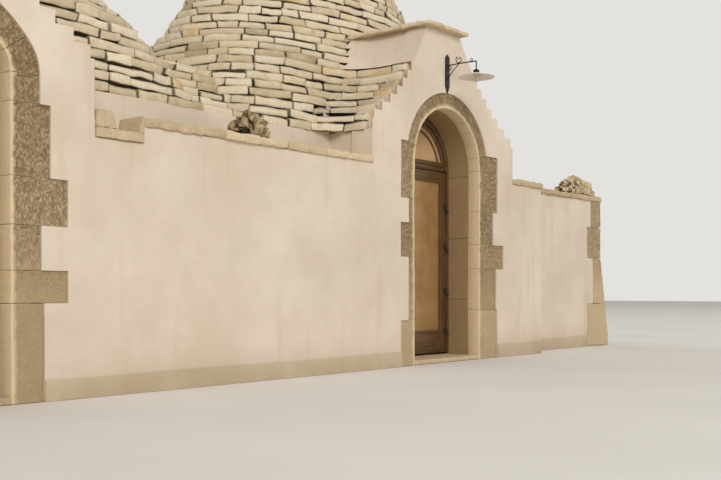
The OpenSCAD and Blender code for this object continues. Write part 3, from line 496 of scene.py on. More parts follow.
def shaped(bm, name, materials, nodes, body="house", warped=True):
    """The object of a reworked copy of a CAD node, with its flat faces shaded evenly."""
    if warped:
        co = warp(np.array([v.co for v in bm.verts]))
        co[:, 2] = np.maximum(co[:, 2], 0)
        for v, p in zip(bm.verts, co):
            v.co = p
    mesh = bpy.data.meshes.new(name)
    bm.to_mesh(mesh)
    bm.free()
    for key in ("custom_normal", "sharp_edge", "sharp_face"):
        if key in mesh.attributes:
            mesh.attributes.remove(mesh.attributes[key])
    obj = finished(name, mesh, materials, body, nodes, 38)
    even = obj.modifiers.new("even_shading", "WEIGHTED_NORMAL")
    even.weight, even.keep_sharp = 80, True


WALLS = ["front_wall_left", "front_wall_middle", "front_wall_right", "left_wing_wall", "right_wing_wall",
         "back_wall", "left_end_wall", "right_end_wall", "left_gable", "right_gable",
         "left_roof_base", "right_roof_base"]
TREES = {n: tree_of(n) for n in WALLS + ["left_gable_roof", "right_gable_roof"]}
CELL = 0.3


def in_way(x, z, more):
    """True inside a doorway's outline made wider all round."""
    for px, half, rise, _, spring in PORTALS:
        u, w = abs(x - px), z - spring
        if u < half + more and (w < 0 or (u / (half + more)) ** 2 + (w / (rise + more)) ** 2 < 1):
            return True
    return False


def reveal_faces(bm, index):
    """Gives the sides of the doorways, between the dressed stones and the doors, their own finish, darker
    partly as the lining stone's colour and partly as painted shade.
    """
    bm.normal_update()
    for f in bm.faces:
        c = f.calc_center_median()
        sideways = abs(f.normal.y) < 0.5 and c.z > 0.01
        if sideways and in_way(c.x, c.z, 0.012) and c.y < FRONT + REVEAL + FRAME_D:
            f.material_index = index


def meet_narrow_stones(bm):
    """Brings the plaster up to the inner jamb's stones where they are narrower than the ring."""
    ring_line = RIGHT_X - RIGHT_HALF - RIGHT_RING
    foot = 0.0
    for top, reach in INNER_JAMB:
        z0, z1, foot = foot - 0.01, top * RIGHT_SPRING + 0.01, top * RIGHT_SPRING
        if reach < 0:
            for v in bm.verts:
                if abs(v.co.x - ring_line) < 0.002 and z0 < v.co.z < z1 and v.co.y < FRONT + STONE_D + 0.005:
                    v.co.x = ring_line - reach * JAMB_REACH - 0.003


def plaster_walls():
    """The walls, gables and drums under their plaster, crisp at the dressed stones and soft elsewhere."""
    for node in WALLS:
        bm = copy_of(node)
        if node == "front_wall_middle":
            meet_narrow_stones(bm)
        others = [t for n, t in TREES.items() if n != node]
        soft = 0.022 if "gable" in node else 0.014
        bevel(bm, 0.004, 2, others, lambda e: near_surround(e) and upright(e))
        bevel(bm, soft, 3, others, lambda e: not near_surround(e) and upright(e))
        if "gable" in node:
            gable_edge(bm)
        grid(bm)
        reveal_faces(bm, 1)
        shaped(bm, node + "_plaster", [PLASTER, SHADED_REVEAL_STONE], [node])


def upright(e):
    """False for the edges that lie on the ground or under the coping."""
    return not all(abs(v.co.z - PARAPET_TOP) < 0.002 or v.co.z < 0.001 for v in e.verts)


def near_surround(e):
    """True for the edges that meet a doorway's dressed stones."""
    c = (e.verts[0].co + e.verts[1].co) / 2
    return any(abs(c.x - x) < half + ring + JAMB_REACH + 0.03 and c.y < FRONT + 0.4 and
               (c.z < spring + 0.2 or in_way(c.x, c.z, ring + 0.06)) for x, half, _, ring, spring in PORTALS)


def outside_ring(co):
    """True for points of a gable or saddle that lie well outside the doorway and its stone ring."""
    return not in_way(co.x, co.z, RIGHT_RING + 0.14)


def band_cuts(bm):
    """Cuts above the foot and below the top of the band that the saddle's stones cover."""
    for at in (EAVE, EAVE + 0.006, STONES_TOP - 0.006, STONES_TOP):
        cut(bm, 2, at)


def in_band(z):
    """True between the two pairs of cuts."""
    return EAVE + 0.003 < z < STONES_TOP - 0.003


def gable_edge(bm):
    """Sets the edge of a gable back between its stones, behind a front skin of plaster."""
    cut(bm, 1, FRONT + SKIN)
    band_cuts(bm)
    mid = RIGHT_X if sum(v.co.x for v in bm.verts) > 0 else LEFT_X
    for v in bm.verts:
        if in_band(v.co.z) and v.co.y > FRONT + SKIN - 0.001 and outside_ring(v.co):
            v.co.x -= math.copysign(0.05, v.co.x - mid)


# Dry-stone roofs
def outline(trees, centre, z, n=720):
    """Outermost points of solids round a centre at a height, from the front and back to it, anticlockwise."""
    found = []
    for i in range(n):
        a = -math.pi / 2 + 2 * math.pi * i / n
        d = Vector((math.cos(a), math.sin(a), 0))
        c = Vector((centre.x, centre.y, z))
        hits = [h for h in (t.ray_cast(c + 7 * d, -d, 7)[0] for t in trees) if h is not None]
        if hits:
            best = max(hits, key=lambda h: (h - c).length)
            found.append((best.x, best.y))
    return np.array(found)


def resampled(points, closed, step=0.03):
    """A line through the points at even steps, a little smoothed, and its length at each."""
    if closed:
        points = np.vstack([points, points[:1]])
    s = np.concatenate([[0], np.cumsum(np.linalg.norm(np.diff(points, axis=0), axis=1))])
    at = np.arange(0, s[-1], step)
    line = np.stack([np.interp(at, s, points[:, k]) for k in range(2)], 1)
    for _ in range(2):
        if closed:
            line = (np.roll(line, 1, 0) + 2 * line + np.roll(line, -1, 0)) / 4
        else:
            line[1:-1] = (line[:-2] + 2 * line[1:-1] + line[2:]) / 4
    if closed:
        line, at = np.vstack([line, line[:1]]), np.append(at, s[-1])
    return line, at


STONE_CELLS, STONE_DEPTH, HALF_JOINT = (6, 3, 4), 0.2, 0.0025


def course(pile, points, closed, z0, z1, jut=0.010, longest=0.50):
    """One course of stones along an outline, each with its own length, face and tone, with painted shade in
    its joints, along its rims and on its ledges.
    """
    if closed:
        points = np.roll(points, int(RNG.integers(len(points))), 0)
    line, at = resampled(points, closed)

    def on_line(s):
        return np.stack([np.interp(s, at, line[:, k]) for k in range(2)], -1)

    total, s, slant = at[-1], 0.0, 0.0
    while s < total - 0.02:
        length = RNG.uniform(0.20, longest)
        s0, s1 = s + HALF_JOINT, min(s + length, total) - HALF_JOINT
        if total - s1 < 0.12:
            s1 = total - HALF_JOINT
        s = s1 + HALF_JOINT
        if s1 - s0 < 0.05:
            continue
        start, chord = on_line(s0), on_line(s1) - on_line(s0)
        out = np.array([chord[1], -chord[0]]) / np.linalg.norm(chord)
        drop = 0.012 + min(RNG.exponential(0.008), 0.026)
        size = (s1 - s0, STONE_DEPTH, z1 - z0 - drop)
        p, quads = block(size, RNG.uniform(0.009, 0.019), STONE_CELLS)
        back = p[:, 1] + STONE_DEPTH / 2
        # Across the stone from 0 to 1: narrower at the back, with slanted ends that the next stone shares
        u = (p[:, 0] / size[0]) * (1 - 0.10 * back / STONE_DEPTH) + 0.5
        last, slant = slant, RNG.normal(0, 0.13) * (closed or s1 < total - 0.01)
        u += (last * (1 - u) + slant * u) * p[:, 2] / size[0]
        along = s0 + u * (s1 - s0)
        base = 0.6 * on_line(along) + 0.4 * (start + u[:, None] * chord)
        stand = jut + RNG.normal(0, 0.010) + RNG.normal(0, 0.008) * (p[:, 0] / size[0]) - back
        z = (z0 + z1 - drop) / 2 + p[:, 2] + RNG.normal(0, 0.006) * (u - 0.5) + 0.05 * p[:, 1]
        # Painted shade: dark on the faces inside the joints and a darker rim round each face. On the top
        # ledge it is half dark at the front rim, lightest just behind it and dark towards the back.
        edge = np.minimum(size[0] / 2 - np.abs(p[:, 0]), size[2] / 2 - np.abs(p[:, 2]))
        painted_shade = np.maximum(np.clip(back / 0.014, 0, 1), 0.45 * np.clip(1 - edge / 0.004, 0, 1))
        ledge = (p[:, 2] > size[2] / 2 - 0.006) & (np.abs(p[:, 0]) < size[0] / 2 - 0.001)
        painted_shade = np.where(ledge, np.interp(back, (0, 0.008, 0.02, 0.18), (0.5, 0.5, 0.22, 0.9)), painted_shade)
        if not closed:
            painted_shade *= (along > 0.01) & (along < total - 0.01)
        pile.add(np.column_stack([base + out * stand[:, None], z]), quads, tone(), painted_shade, 0.0095)


def wavy(p):
    """Courses rise and fall a little together."""
    lift = np.clip((p[:, 2] - STONES_TOP) / 0.4, 0.3, 1)
    p[:, 2] += 0.014 * noise(np.column_stack([p[:, :2], p[:, 2] * 0.35]), 1.1, 3) * lift
    return p


def flanks(tree, mid, z):
    """Left and right edges of a gable at a height."""
    return [tree.ray_cast(Vector((mid + 3 * d, FRONT + 0.1, z)), Vector((-d, 0, 0)), 3)[0].x for d in (-1, 1)]


def stone_roof(side, centre):
    """The courses of one roof: with the saddle, from flank to flank of the gable, then all the way round."""
    roof, saddle, gable = side + "_roof", side + "_gable_roof", side + "_gable"
    whole = [tree_of(n) for n in (roof, saddle, gable)]
    pile = Pile()
    for i in range(COURSES):
        z0, z1 = EAVE + i * COURSE, EAVE + (i + 1) * COURSE
        z = (z0 + z1) / 2
        if i < SADDLE_COURSES:
            left, right = flanks(whole[2], RIGHT_X if side == "right" else LEFT_X, z)
            points = outline(whole, centre, z)
            front = (points[:, 1] < centre.y) & (points[:, 0] > left + 0.05) & (points[:, 0] < right - 0.05)
            flank = points[~front & (points[:, 1] > FRONT + SKIN + 0.02)]
            flank = np.vstack([(right, FRONT + SKIN - 0.002), flank, (left, FRONT + SKIN - 0.002)])
            course(pile, flank, False, z0, z1 + 0.009 * (i == SADDLE_COURSES - 1), jut=0.018)
        else:
            longest = max(0.28, 0.50 - 0.10 * (z - 3.2))
            course(pile, outline(whole[:1], centre, z), True, z0, z1, longest=longest)
    pile.points = [wavy(p) for p in pile.points]
    pile.piece(side + "_roof_stones", ROOF_STONE, nodes=[roof, saddle], slot="roof_stone")
    roof_core(side, roof, centre, whole[0])
    saddle_core(side, saddle)


def roof_core(side, node, centre, tree):
    """Rubble behind the stones, dark as painted shade in the joints, and the limewashed vault below."""
    bm = copy_of(node)
    moves = []
    for v in bm.verts:
        d = Vector((v.co.x - centre.x, v.co.y - centre.y, 0))
        reach = d.length
        if reach < 0.05:
            continue
        d.normalize()
        z = min(max(v.co.z, EAVE + 0.002), CAP - 0.002)
        hit, normal, _, inner = tree.ray_cast(Vector((centre.x, centre.y, z)), d, 7)
        if hit is not None and (normal.dot(d) > 0 or reach > inner + 0.12):
            moves.append((v, d))
    for v, d in moves:
        v.co -= 0.09 * d
    bm.normal_update()
    for f in bm.faces:
        c = f.calc_center_median()
        away = f.normal.x * (c.x - centre.x) + f.normal.y * (c.y - centre.y)
        f.material_index = 1 if away > 0.02 or f.normal.z > 0.5 else 0
    shaped(bm, side + "_roof_core", [LIMEWASH, JOINT_SHADOW], [node])


def saddle_core(side, node):
    """Plaster of the saddle under and over its stones, and rubble behind them, dark as painted shade in the
    joints.
    """
    bm = copy_of(node)
    band_cuts(bm)
    bm.normal_update()
    moves = []
    for v in bm.verts:
        n = Vector((v.normal.x, v.normal.y, 0))
        if in_band(v.co.z) and outside_ring(v.co) and n.length > 0.2:
            moves.append((v, 0.07 * n.normalized()))
    for v, move in moves:
        v.co -= move
    bm.normal_update()
    for f in bm.faces:
        c = f.calc_center_median()
        f.material_index = 1 if EAVE + 0.001 < c.z < STONES_TOP - 0.001 and outside_ring(c) else 0
    grid(bm)
    reveal_faces(bm, 2)
    shaped(bm, side + "_saddle_plaster", [PLASTER, JOINT_SHADOW, SHADED_REVEAL_STONE], [node])


def valley_stones():
    """Courses across the valley between the roofs, flat slabs on its top, and plaster below it."""
    lo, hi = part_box("roof_valley")
    tree = tree_of("roof_valley")
    pile = Pile()
    mid = (lo + hi) / 2
    for i in range(math.ceil((hi.z - lo.z) / COURSE)):
        z0, z1 = lo.z + i * COURSE, min(lo.z + (i + 1) * COURSE, hi.z)
        z = (z0 + z1) / 2
        for sign in (-1, 1):
            hit = tree.ray_cast(Vector((mid.x, mid.y + sign * 4, z)), Vector((0, -sign, 0)), 4)[0]
            reach = 0.32 + 0.62 * (z - lo.z) / (hi.z - lo.z)
            ends = [(mid.x + sign * reach, hit.y), (mid.x - sign * reach, hit.y)]
            course(pile, np.array(ends), False, z0, z1)
    top, gap = 0.56 * (hi.y - lo.y) / 2, 0.004
    y = mid.y - top
    while y < mid.y + top - 0.05:
        d = min(RNG.uniform(0.2, 0.3), mid.y + top - y)
        x = mid.x - 0.9
        while x < mid.x + 0.9:
            w = RNG.uniform(0.25, 0.45)
            pile.slab((x + gap, y + gap, hi.z - 0.05), (x + w - gap, y + d - gap, hi.z + 0.012), 0.012, 0.07,
                      tone(), 0.006)
            x += w
        y += d
    pile.piece("valley_stones", ROOF_STONE, nodes=["roof_valley"], slot="roof_stone")
    # The valley's core behind its courses, dark as painted shade in the joints.
    bm = copy_of("roof_valley")
    for v in bm.verts:
        v.co.y = mid.y + (v.co.y - mid.y) * 0.93
        v.co.z -= 0.03 * (v.co.z > lo.z + 0.1)
    shaped(bm, "valley_core", [JOINT_SHADOW], ["roof_valley"])
    pile = Pile()
    base, thick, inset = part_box("right_roof_base")[0].z, 0.20, 0.025
    for y in (lo.y + inset, hi.y - inset - thick):
        pile.slab((lo.x - 0.02, y, base), (hi.x + 0.02, y + thick, lo.z + 0.012), 0.004, 0.2)
    pile.piece("valley_foot_plaster", PLASTER, slot="plaster")


def ring_grid(rows):
    """Quads between rows of points that each close on themselves."""
    n, m = len(rows), len(rows[0])
    a = np.arange((n - 1) * m)
    nxt = (a // m) * m + (a % m + 1) % m
    return np.column_stack([a, nxt, nxt + m, a + m])


def lathe(profile, centre, steps):
    """Turns a profile of radius and height round an upright line, as points and quads."""
    angles = 2 * math.pi * np.arange(steps) / steps
    rows = [np.column_stack([r * np.cos(angles), r * np.sin(angles), np.full(steps, z)])
            for r, z in np.maximum(profile, (0, -np.inf))]
    return np.concatenate(rows) + np.array(centre), ring_grid(rows)


def smooth_profile(points, per=6):
    """Rounds a profile through its points."""
    pts = np.array(points, float)
    padded = np.vstack([2 * pts[0] - pts[1], pts, 2 * pts[-1] - pts[-2]])
    out = []
    for i in range(1, len(padded) - 2):
        p0, p1, p2, p3 = padded[i - 1:i + 3]
        for t in np.linspace(0, 1, per, endpoint=False):
            out.append(0.5 * (2 * p1 + (p2 - p0) * t + (2 * p0 - 5 * p1 + 4 * p2 - p3) * t * t
                              + (3 * p1 - p0 - 3 * p2 + p3) * t ** 3))
    return np.vstack([out, pts[-1:]])


def roof_caps():
    """Each roof's capstone: a disc, a waisted neck and a ball."""
    pile = Pile()
    lo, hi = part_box("roof_caps")
    ball_r = 0.115
    disc = [(0, 0), (0.285, 0), (0.306, 0.014), (0.310, 0.040), (0.298, 0.070), (0.24, 0.088), (0, 0.094)]
    neck = [(0, 0.085), (0.15, 0.092), (0.118, 0.13), (0.086, 0.185), (0.078, 0.225), (0, 0.24)]
    ball = [(ball_r * math.cos(a), hi.z - lo.z - ball_r - 0.002 + ball_r * math.sin(a))
            for a in np.radians(np.linspace(-90, 90, 24))]
    for roof in (LEFT_ROOF, RIGHT_ROOF):
        centre = (roof.x, roof.y, lo.z)
        pile.add(*lathe(smooth_profile(disc, 3), centre, 56), 0.55, 0, 0.006)
        pile.add(*lathe(smooth_profile(neck, 4), centre, 40), 0.7, 0, 0.003)
        pile.add(*lathe(ball, centre, 44), 0.8, 0, 0.0025)
    pile.piece("roof_cap_stones", SLAB, nodes=["roof_caps"], slot="slab_stone", weld=True)


# Stone surrounds, copings and corners
MARGIN = 0.03


def strokes(p):
    """Depth from 0 to 1 of a pick's short upright strokes in a stone's face, worn away near the ground."""
    long = np.abs(noise(p * np.array([1, 1, 0.6]), 0.030, 17))
    worn = np.clip((p[:, 2] - WORN[0]) / (WORN[1] - WORN[0]), 0.2, 1)
    return worn * (1 - np.clip(1.7 * long + 0.4 * np.abs(noise(p, 0.017, 18)), 0, 1))


def dressed(pile, size, place, margin=None):
    """A dressed stone, local x across, y into the wall and z along, pecked inside a smooth margin."""
    p, quads = block(size, 0.004, cells_of(size, (0.011, 0.05, 0.011)))
    world = place(p)
    back = p[:, 1] + size[1] / 2
    edge = np.minimum(size[0] / 2 - np.abs(p[:, 0]), size[2] / 2 - np.abs(p[:, 2]))
    rub_and_shade = np.zeros(len(p))
    if margin is not None:
        rub_and_shade = np.clip(1.4 - (p[:, 0] + size[0] / 2) / (margin * (1 + 0.5 * noise(world, 0.045, 19))), 0, 1)
    groove = np.clip(1 - back / 0.012, 0, 1) * np.clip((edge - 0.003) / 0.010, 0, 1)
    groove = groove * (1 - rub_and_shade) * strokes(world)
    world[:, 1] += 0.014 * groove
    pile.add(world, quads, tone() * 0.8, np.maximum(rub_and_shade, 0.8 * np.clip(back / 0.02, 0, 1)), 0.0012, groove)


def ring_stones(pile, x, spring, pieces, path_at, ring):
    """Wedge stones; path_at gives the inner point and the outward direction at a share of the curve."""
    for i in range(pieces):
        u0, u1 = i / pieces, (i + 1) / pieces
        length = np.linalg.norm(np.subtract(path_at(u1)[0], path_at(u0)[0])) * 1.12
        size = (ring, STONE_D - STONE_SET, length)

        def place(p):
            t = u0 + (u1 - u0) * ((p[:, 2] / length) * (1 - 0.002 / length) + 0.5)
            pts = np.array([path_at(v) for v in t])
            u, w = (pts[:, 0] + pts[:, 1] * (p[:, 0] + ring / 2)[:, None]).T
            return np.column_stack([x + u, FRONT + STONE_SET + p[:, 1] + size[1] / 2, spring + w])

        dressed(pile, size, place, MARGIN)


def round_path(half):
    """Inner curve of the right arch, a half circle."""
    def at(u):
        a = math.pi * u
        d = (math.cos(a), math.sin(a))
        return (half * d[0], half * d[1]), d
    return at


def basket_path(half, rise):
    """Inner curve of the left arch: two tight haunches and a flat crown, as in the part's source."""
    r = 0.42 * rise + 0.12 * half
    w, h = half - r, rise - r
    drop = (w * w - h * h) / (2 * h)
    big = rise + drop
    turn = math.atan2(drop, w)
    haunch, crown = r * turn, big * (math.pi - 2 * turn)
    total = 2 * haunch + crown

    def at(u):
        s = min(max(u, 0), 1) * total
        if s < haunch:
            a = s / r
            centre, radius = (w, 0), r
        elif s < haunch + crown:
            a = turn + (s - haunch) / big
            centre, radius = (0, -drop), big
        else:
            a = math.pi - turn + (s - haunch - crown) / r
            centre, radius = (-w, 0), r
        d = (math.cos(a), math.sin(a))
        return (centre[0] + radius * d[0], centre[1] + radius * d[1]), d
    return at


def jamb_stones(pile, x, side, half, ring, spring, blocks, tooth):
    """Upright stones on one side of a doorway, then the tooth beside the foot of the ring."""
    z0 = 0.0
    depth = STONE_D - STONE_SET
    for top, reach in blocks:
        z1 = top * spring
        width = ring + reach * JAMB_REACH
        mid = (half + width / 2, FRONT + (STONE_SET + STONE_D) / 2, (z0 + z1) / 2)

        def place(p):
            return np.column_stack([x + side * (mid[0] + p[:, 0]), mid[1] + p[:, 1], mid[2] + p[:, 2]])

        dressed(pile, (width - 0.002, depth, z1 - z0 - 0.002), place, MARGIN)
        z0 = z1
    if tooth:
        size = (width - ring, depth, tooth - 0.006)

        def place_tooth(p):
            z = spring + tooth / 2 + p[:, 2]
            inner = np.sqrt(np.maximum((half + ring) ** 2 - (z - spring) ** 2, 0)) + 0.004
            u = inner + (p[:, 0] / size[0] + 0.5) * (half + width - inner)
            return np.column_stack([x + side * u, mid[1] + p[:, 1], z])

        dressed(pile, size, place_tooth)


def surrounds():
    """The ring and the jambs of each doorway."""
    for name, x, half, spring, ring, path_at, wedges, jambs, tooth in (
            ("right", RIGHT_X, RIGHT_HALF, RIGHT_SPRING, RIGHT_RING, round_path(RIGHT_HALF), 13,
             (OUTER_JAMB, INNER_JAMB), TOOTH),
            ("left", LEFT_X, LEFT_HALF, LEFT_SPRING, LEFT_RING, basket_path(LEFT_HALF, LEFT_RISE), 11,
             (LEFT_JAMB, LEFT_JAMB), None)):
        pile = Pile()
        ring_stones(pile, x, spring, wedges, path_at, ring)
        pile.piece(name + "_arch_stones", DRESSED, nodes=[name + "_arch"], slot="dressed_stone")
        pile = Pile()
        for side, blocks in zip((1, -1), jambs):
            jamb_stones(pile, x, side, half, ring, spring, blocks, tooth)
        pile.piece(name + "_jamb_stones", DRESSED, nodes=[name + "_jambs"], slot="dressed_stone")


def islands(node):
    """Lowest and highest corner of each separate solid of a CAD node, in the same order on every run."""
    bm = copy_of(node)
    left, found = set(bm.verts), []
    while left:
        group, grow = set(), [left.pop()]
        while grow:
            v = grow.pop()
            group.add(v)
            for e in v.link_edges:
                w = e.other_vert(v)
                if w in left:
                    left.remove(w)
                    grow.append(w)
        co = np.array([v.co for v in group])
        found.append((co.min(0), co.max(0)))
    bm.free()
    return sorted(found, key=lambda ends: tuple(np.concatenate(ends).round(3)))


def slab_runs(pile, runs, shortest, longest, gap, rough, cell, axis=None):
    """Slabs of uneven length along each run, which follows its longer side unless an axis is given."""
    for lo, hi in runs:
        way = int(hi[1] - lo[1] > hi[0] - lo[0]) if axis is None else axis
        total = hi[way] - lo[way]
        count = max(1, round(total / RNG.uniform(shortest, longest)))
        ends = np.concatenate([[0], np.cumsum(RNG.uniform(0.7, 1.3, count))])
        ends = lo[way] + ends * total / ends[-1]
        for start, end in zip(ends[:-1], ends[1:]):
            low, high = np.array(lo), np.array(hi)
            low[way], high[way] = start + gap / 2, end - gap / 2
            high[2] += RNG.uniform(-0.014, 0.004)
            low[1 - way] += RNG.uniform(-0.004, 0.012)
            high[1 - way] -= RNG.uniform(-0.004, 0.012)
            pile.slab(low, high, 0.014, cell, tone(), rough)


def copings():
    """Slabs on the parapet, and on the gables, where limewash runs over the slabs' sides."""
    pile = Pile()
    slab_runs(pile, islands("parapet_coping"), 0.5, 0.9, 0.006, 0.009, 0.03)
    pile.piece("coping_slabs", SLAB, nodes=["parapet_coping"], slot="slab_stone", scale=0.06)
    pile = Pile()
    slab_runs(pile, islands("gable_copings"), 0.40, 0.5, 0.005, 0.010, 0.028, axis=1)
    pile.marks["rub_and_shade"] = [0.95 * (np.minimum(p[:, 0] - p[:, 0].min(), p[:, 0].max() - p[:, 0]) < 0.006)
                         for p in pile.points]
    pile.piece("gable_slabs", SLAB, nodes=["gable_copings"], slot="slab_stone", scale=0.06)


def corner_stones():
    """Toothed corner blocks of both wings, front and back, whose foot spreads at the corner."""
    shares = [(0.29, 1, 0.68), (0.605, 0.54, 1), (0.815, 1, 0.62), (1, 0.70, 1)]
    reach, proud, batter = 0.360, 0.016, 0.100
    foot_top = shares[1][0] * PARAPET_TOP
    foot_along, foot_deep = 0.54 * reach, 0.68 * reach
    end_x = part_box("right_end_wall")[1].x
    front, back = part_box("right_wing_wall")[0].y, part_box("back_wall")[1].y
    back_wing = back - (front - FRONT)
    for side, name in ((-1, "left"), (1, "right")):
        pile = Pile()
        for face, y in ((1, front), (-1, back_wing)):
            z0 = 0.0
            for top, along, deep in shares:
                z1 = top * PARAPET_TOP
                size = (along * reach + proud, deep * reach + proud, z1 - z0 - 0.006)
                p, quads = block(size, 0.012, cells_of(size, 0.016, 4, 34))
                z = (z0 + z1) / 2 + p[:, 2]
                u = proud - size[0] / 2 + p[:, 0]
                v = proud - size[1] / 2 + p[:, 1]
                swell = (batter - proud) * np.clip(1 - z / foot_top, 0, 1)
                swell *= np.clip((u + foot_along) / (foot_along + proud), 0, 1)
                swell *= np.clip((v + foot_deep) / (foot_deep + proud), 0, 1)
                pts = np.column_stack([side * (end_x + u + swell), y - face * (v + swell), z])
                end, front_face = p[:, 0] > size[0] / 2 - 0.002, p[:, 1] > size[1] / 2 - 0.002
                groove = strokes(pts) * (np.abs(p[:, 2]) < size[2] / 2 - 0.01) * (end | front_face)
                pts[:, 0] -= side * 0.010 * groove * end
                pts[:, 1] += face * 0.010 * groove * front_face
                # Their tone is raised above that of the doorway stones of the same stone, as painted light.
                pile.add(pts, quads, 0.75 + 0.5 * tone(), 0, np.where(pts[:, 2] > 0.02, 0.006, 0.001), groove)
                z0 = z1
        pile.piece(name + "_corner_stones", DRESSED, nodes=[name + "_quoins"], slot="dressed_stone",
                   scale=0.07)


def rocks():
    """Karst rocks full of holes, inside the shape of their solids, the one on the wing paler."""
    tree = tree_of("ornament_rocks")
    pile = Pile()
    for lo, hi in islands("ornament_rocks"):
        bm = bmesh.new()
        bmesh.ops.create_icosphere(bm, subdivisions=6, radius=1)
        d = np.array([v.co for v in bm.verts])
        faces = np.array([[v.index for v in f.verts] for f in bm.faces])
        bm.free()
        centre = Vector(((lo + hi) / 2).tolist())
        centre.z = lo[2] + 0.40 * (hi[2] - lo[2])

        def reach(v):
            hit = tree.ray_cast(centre, Vector(v))[0]
            return 0.05 if hit is None else (hit - centre).length

        p = d * np.array([reach(v) for v in d])[:, None]
        ridges = np.clip(1 - np.abs(noise(p, 0.085, 40)), 0, 1)
        holes = np.clip(1 - 3.2 * np.abs(noise(p, 0.060, 41) - 0.25), 0, 1)
        fine = np.clip(1 - 3.0 * np.abs(noise(p, 0.030, 43)), 0, 1)
        swell = 0.76 + 0.30 * ridges ** 1.5 - 0.38 * holes ** 1.3 - 0.06 * fine + 0.14 * noise(p, 0.14, 42)
        p = p * np.clip(swell, 0.46, 1.03)[:, None] + np.array(centre)
        p[:, 2] = np.maximum(p[:, 2], lo[2] + 0.001)
        tall = (p[:, 2] - lo[2]) / (hi[2] - lo[2])
        pale = 0.42 if lo[0] < RIGHT_X else 0.78
        # Painted shade in the holes, and darker towards the bottom.
        darkening = np.clip(1.2 * holes ** 1.5 + 0.3 * fine, 0, 1) * np.clip(1.3 - tall, 0, 1)
        pile.add(p, faces, pale, darkening, 0.004)
    pile.piece("karst_rocks", KARST, nodes=["ornament_rocks"], slot="karst_stone", scale=0.03, angle=60)


def prism(pile, corners, y0, y1, shade, rough):
    """A four-sided stone whose front is given by its corners in x and z, from low left and anticlockwise."""
    (ax, az), (bx, bz), (cx, cz), (dx, dz) = corners
    size = (max(bx - ax, cx - dx), y1 - y0, max(dz - az, cz - bz))
    p, quads = block((1, 1, 1), 0.04, cells_of(size, 0.02))
    u, w = p[:, 0] + 0.5, p[:, 2] + 0.5
    x = (1 - w) * ((1 - u) * ax + u * bx) + w * ((1 - u) * dx + u * cx)
    z = (1 - w) * ((1 - u) * az + u * bz) + w * ((1 - u) * dz + u * cz)
    pile.add(np.column_stack([x, (y0 + y1) / 2 + p[:, 1] * (y1 - y0), z]), quads, shade, 0, rough)


def spout():
    """A trough stone: a bed with a bank on each side of the channel, whose sides lean outwards."""
    pile = Pile()
    lo, hi = (np.array(v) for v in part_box("gutter_spout"))
    x, length = lo[0], hi[0] - lo[0]
    foot, head = (0.44 * length, 0.89 * length), (0.29 * length, 0.96 * length)
    bed = PARAPET_TOP - 0.05
    for corners, shade, rough in (
            ([(x, lo[2]), (hi[0], lo[2]), (hi[0], bed), (x, bed)], 0.45, 0.004),
            ([(x, bed), (x + foot[0], bed), (x + head[0], hi[2]), (x, hi[2])], 0.4, 0.006),
            ([(x + foot[1], bed), (hi[0], bed), (hi[0], hi[2]), (x + head[1], hi[2])], 0.45, 0.004)):
        prism(pile, corners, lo[1], hi[1], shade, rough)
    pile.piece("spout_stones", SLAB, nodes=["gutter_spout"], slot="slab_stone", scale=0.05)


def floors():
    """Paving on a bed, the thresholds' slabs, the wall between the rooms and the skirting band."""
    pile = Pile()
    for lo, hi in islands("floor"):
        pile.slab(lo, (hi[0], hi[1], hi[2] - 0.012), 0.002, 0.8, 0.2)
        y = lo[1]
        while y < hi[1] - 0.01:
            d = min(RNG.uniform(0.36, 0.5), hi[1] - y)
            if hi[1] - y - d < 0.15:
                d = hi[1] - y
            x = lo[0] - RNG.uniform(0, 0.4)
            while x < hi[0]:
                w = RNG.uniform(0.45, 0.8)
                x0, x1 = max(x, lo[0]), min(x + w, hi[0])
                if x1 - x0 > 0.03:
                    low, high = (x0 + 0.002, y + 0.002, hi[2] - 0.03), (x1 - 0.002, y + d - 0.002, hi[2])
                    pile.slab(low, high, 0.004, 0.2, tone(), 0.0008, 5)
                x += w
            y += d
    pile.piece("floor_slabs", PAVING, nodes=["floor"], slot="floor_stone", warped=False)
    pile = Pile()
    slab_runs(pile, islands("thresholds"), 0.4, 0.5, 0.004, 0.002, 0.03, axis=1)
    pile.piece("threshold_slabs", SLAB, nodes=["thresholds"], slot="slab_stone", warped=False)
    bm = copy_of("middle_wall")
    bevel(bm, 0.01, 2)
    grid(bm)
    shaped(bm, "middle_wall_plaster", [LIMEWASH], ["middle_wall"])
    bm = copy_of("skirting")
    bevel(bm, 0.007, 3, [], lambda e: all(v.co.z > 0.01 for v in e.verts))
    grid(bm)
    shaped(bm, "skirting_band", [SKIRT], ["skirting"])


# Joinery
def moulding(pile, path, section, y, closed=False):
    """Sweeps a section of distances outwards and heights off the face along a path in x and z."""
    path = np.array(path, float)
    before, after = path - np.roll(path, 1, 0), np.roll(path, -1, 0) - path
    if not closed:
        before[0], after[-1] = after[0], before[-1]
    na, nb = (np.column_stack([d[:, 1], -d[:, 0]]) / np.linalg.norm(d, axis=1)[:, None]
              for d in (before, after))
    mitre = na + nb
    mitre /= np.maximum((mitre * nb).sum(1), 0.3)[:, None]
    rows = [np.array([(x + mx * u, y - h, z + mz * u) for u, h in section])
            for (x, z), (mx, mz) in zip(path, mitre)]
    if closed:
        rows.append(rows[0])
    else:
        ends = [np.tile(row.mean(0), (len(row), 1)) for row in (rows[0], rows[-1])]
        rows = [ends[0]] + rows + [ends[1]]
    pile.add(np.concatenate(rows), ring_grid(rows))


